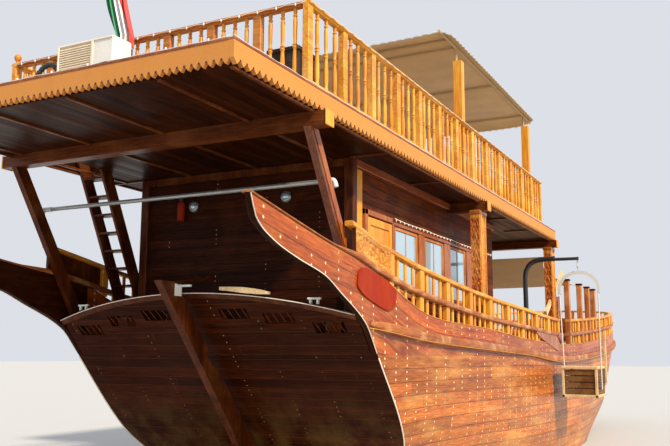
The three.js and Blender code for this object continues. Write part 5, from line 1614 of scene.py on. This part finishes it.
def makeUpperAwning():
    # Cloth over the frame: level on each bar, hanging between the bars in shallow curves, pulled down a little
    # at the laced edges.
    a = upperAwning
    u, v = np.meshgrid(np.linspace(-1, 1, 190), np.linspace(-1, 1, 90), indexing="ij")
    centre, halfLong = (a["aft"] + a["fore"]) / 2, (a["fore"] - a["aft"]) / 2
    x, y = roundedRectangle(u, v, halfLong, a["half"], a["corner"])
    x = x + centre
    bars = np.array([a["aft"] + 0.02, *a["bars"], a["fore"] - 0.02])
    i = np.clip(np.searchsorted(bars, x) - 1, 0, len(bars) - 2)
    width = bars[i + 1] - bars[i]
    share = np.clip((x - bars[i]) / width, 0, 1)
    between = 4 * share * (1 - share)
    across = np.clip(1 - (np.abs(y) / a["half"]) ** 4, 0, 1)
    hang = a["sag"] * np.minimum(width / 2.3, 1.0) * between * across
    drop = a["edgeDrop"] * (np.clip((np.abs(y) - 2.08) / 0.17, 0, 1) ** 1.6) * 0.6
    endDrop = a["edgeDrop"] * np.clip((np.abs(x - centre) - (halfLong - 0.34)) / 0.34, 0, 1) ** 1.5
    crease = 0.006 * np.sin(x * 9 + y * 2.2) * across * np.clip(between, 0, 1)
    pucker = 0.010 * np.cos(2 * np.pi * x / a["lacing"]) * np.clip((np.abs(y) - 2.05) / 0.2, 0, 1)
    grid = np.stack([x, y, a["z"] - hang - drop - endDrop * across ** 0.3 + crease + pucker * 0.5], -1)
    made = cloth("upperAwningCloth", grid, np.stack([u * halfLong, v * a["half"]], -1), "canvas", "upper_awning")
    # lacing: a rope that goes round the hem and over the edge
    rim = np.concatenate([grid[:, 0], grid[-1, 1:], grid[-2::-1, -1], grid[0, -2:0:-1]])
    run = runAlong(rim)
    count = int(run[-1] / 0.0194)
    at = np.linspace(0, run[-1], count)
    out = np.stack([np.interp(at, run, np.gradient(rim[:, 1])), -np.interp(at, run, np.gradient(rim[:, 0])),
                    np.zeros(count)], 1)
    out /= np.linalg.norm(out, axis=1)[:, None]
    turn = 2 * np.pi * at[:, None] / a["lacing"]
    path = evenly(rim, count) + out * (0.010 + 0.014 * np.cos(turn)) + np.array([0, 0, 1]) * (0.016 * np.sin(turn))
    tubes("awningLacing", [path], 0.0055, "whiteRope", 6, (0.01, 0.013, 1))
    print("upper awning:", count, "lacing points")


def makeForeAwning():
    # Cloth stretched between the upper deck's fore edge and the stanchions; its side edges curve inwards.
    a = foreAwning
    u, v = np.meshgrid(np.linspace(0, 1, 70), np.linspace(-1, 1, 90), indexing="ij")
    bulge = 4 * u * (1 - u)
    x = a["aft"] + (a["fore"] - a["aft"]) * u - 0.22 * (1 - v ** 2) * u
    y = v * (a["half"] - a["hollow"] * bulge)
    z = a["zAft"] + (a["zFore"] - a["zAft"]) * u - (a["sag"] * bulge + 0.05 * u) * (1 - v ** 2)
    z = z + 0.006 * np.sin(v * 15 + u * 6) * bulge
    grid = np.stack([x, y, z], -1)
    made = cloth("foreAwningCloth", grid, np.stack([u * 3.13, v * a["half"]], -1), "canvas", "fore_awning")
    tubes("foreAwningHem", [grid[:, 0], grid[:, -1], grid[-1, :]], 0.009, "whiteRope", 6, (0.02, 0.03, 1))
    # lashings from the corners to the deck edge and the stanchions, and a brace on each side
    lashings = [np.array([(x, side * y, z) for x, y, z in line]) for line in (
        ((1.33, 2.13, 4.40), (1.315, 2.20, 4.55), (1.30, 2.26, 4.70)),
        ((4.46, 2.13, 3.98), (4.38, 2.30, 3.88), (4.27, 2.52, 3.78))) for side in (-1, 1)]
    for word, side in bothWays:
        ring = [[(x + dx, side * (2.30 + dy), z + dz) for dx, dz, dy in (
            (0.03, -0.05, -0.025), (-0.03, 0.05, -0.025), (-0.03, 0.05, 0.025), (0.03, -0.05, 0.025))]
            for x, z in ((0.36, 3.02), (2.28, 4.10))]
        shell("awningBrace_" + word, swept(np.array(ring)), "paleWood", smooth=False)
    tubes("foreAwningLashings", lashings, 0.007, "whiteRope", 6, (1, 0, 0.2))


def makeFlag():
    # Flag with no wind. Along the fly the cloth turns from level to nearly upright: angle = droop (1 - exp(-6 u)).
    # The flat shape that makes is gathered into folds: its width counts a third, the rest goes into a sine.
    f = flag
    u, v = np.meshgrid(np.linspace(0, 1, 110), np.linspace(0, 1, 80), indexing="ij")
    angle = math.radians(f["droop"]) * (1 - np.exp(-6 * u))
    run = np.pad(np.cumsum((np.sin(angle[1:]) + np.sin(angle[:-1])) / 2, 0) / 109, ((1, 0), (0, 0)))
    z = f["middle"] - f["long"] * run + f["tall"] * (v - 0.5) * np.cos(angle)
    across = f["tall"] * (v - 0.5) * np.sin(angle) + 0.5 * f["long"] * u * np.cos(angle)
    lean = 0.17 * np.clip((z - 5.97) / 0.55, 0, 1) - 0.07 * np.clip((z - 6.6) / 1.0, 0, 1)
    y = 0.345 + (lean - 0.060) * (1 - np.exp(-5 * u)) - 0.28 * across
    x = f["x"] + f["fold"] * np.sin(2 * np.pi * across / f["pitch"] + 1.2 * u) * np.clip(u * 5, 0, 1)
    made = cloth("flagFolds", np.stack([x, y, z], -1), np.stack([u, v], -1), "flagCloth", "flag", 0.002)


makeUpperAwning()
makeForeAwning()
makeFlag()


# Floor at the waterline, light and surroundings

studio = {
    "floor": (0.47, 0.47, 0.46, 1), "sky": (0.90, 0.93, 1.0, 1), "skyStrength": 0.80,
    "sunPower": 5.4, "sunColour": (1.0, 0.91, 0.76), "sunFrom": (-0.26, -0.70, 0.66), "sunSize": 4,
    "fillPower": 40, "fillPlace": (-26, 10, 9), "fillTo": (-6, 0, 3), "fillSize": 10,
}


def makeLight(name, kind, towards, place=(0, 0, 0), **settings):
    data = bpy.data.lights.new(name, kind)
    for key, value in settings.items():
        setattr(data, key, value)
    light = bpy.data.objects.new(name, data)
    light.location = place
    light.rotation_euler = Vector(towards).to_track_quat("-Z", "Y").to_euler()
    bpy.context.scene.collection.objects.link(light)


def makeStudio():
    s = studio
    mesh = bpy.data.meshes.new("floor")
    mesh.from_pydata([(-120, -120, 0), (160, -120, 0), (160, 160, 0), (-120, 160, 0)], [], [(0, 1, 2, 3)])
    mesh.materials.append(Wiring("floor").finish(Base_Color=s["floor"], Roughness=0.6))
    floor = bpy.data.objects.new("floor", mesh)
    bpy.context.scene.collection.objects.link(floor)
    world = bpy.data.worlds.new("sky")
    world.use_nodes = True
    world.node_tree.nodes["Background"].inputs["Color"].default_value = s["sky"]
    world.node_tree.nodes["Background"].inputs["Strength"].default_value = s["skyStrength"]
    bpy.context.scene.world = world
    bpy.context.scene.view_settings.view_transform = "Standard"
    makeLight("sun", "SUN", -Vector(s["sunFrom"]), energy=s["sunPower"], color=s["sunColour"],
              angle=math.radians(s["sunSize"]))
    makeLight("fill", "AREA", Vector(s["fillTo"]) - Vector(s["fillPlace"]), s["fillPlace"], energy=s["fillPower"],
              size=s["fillSize"])


makeStudio()
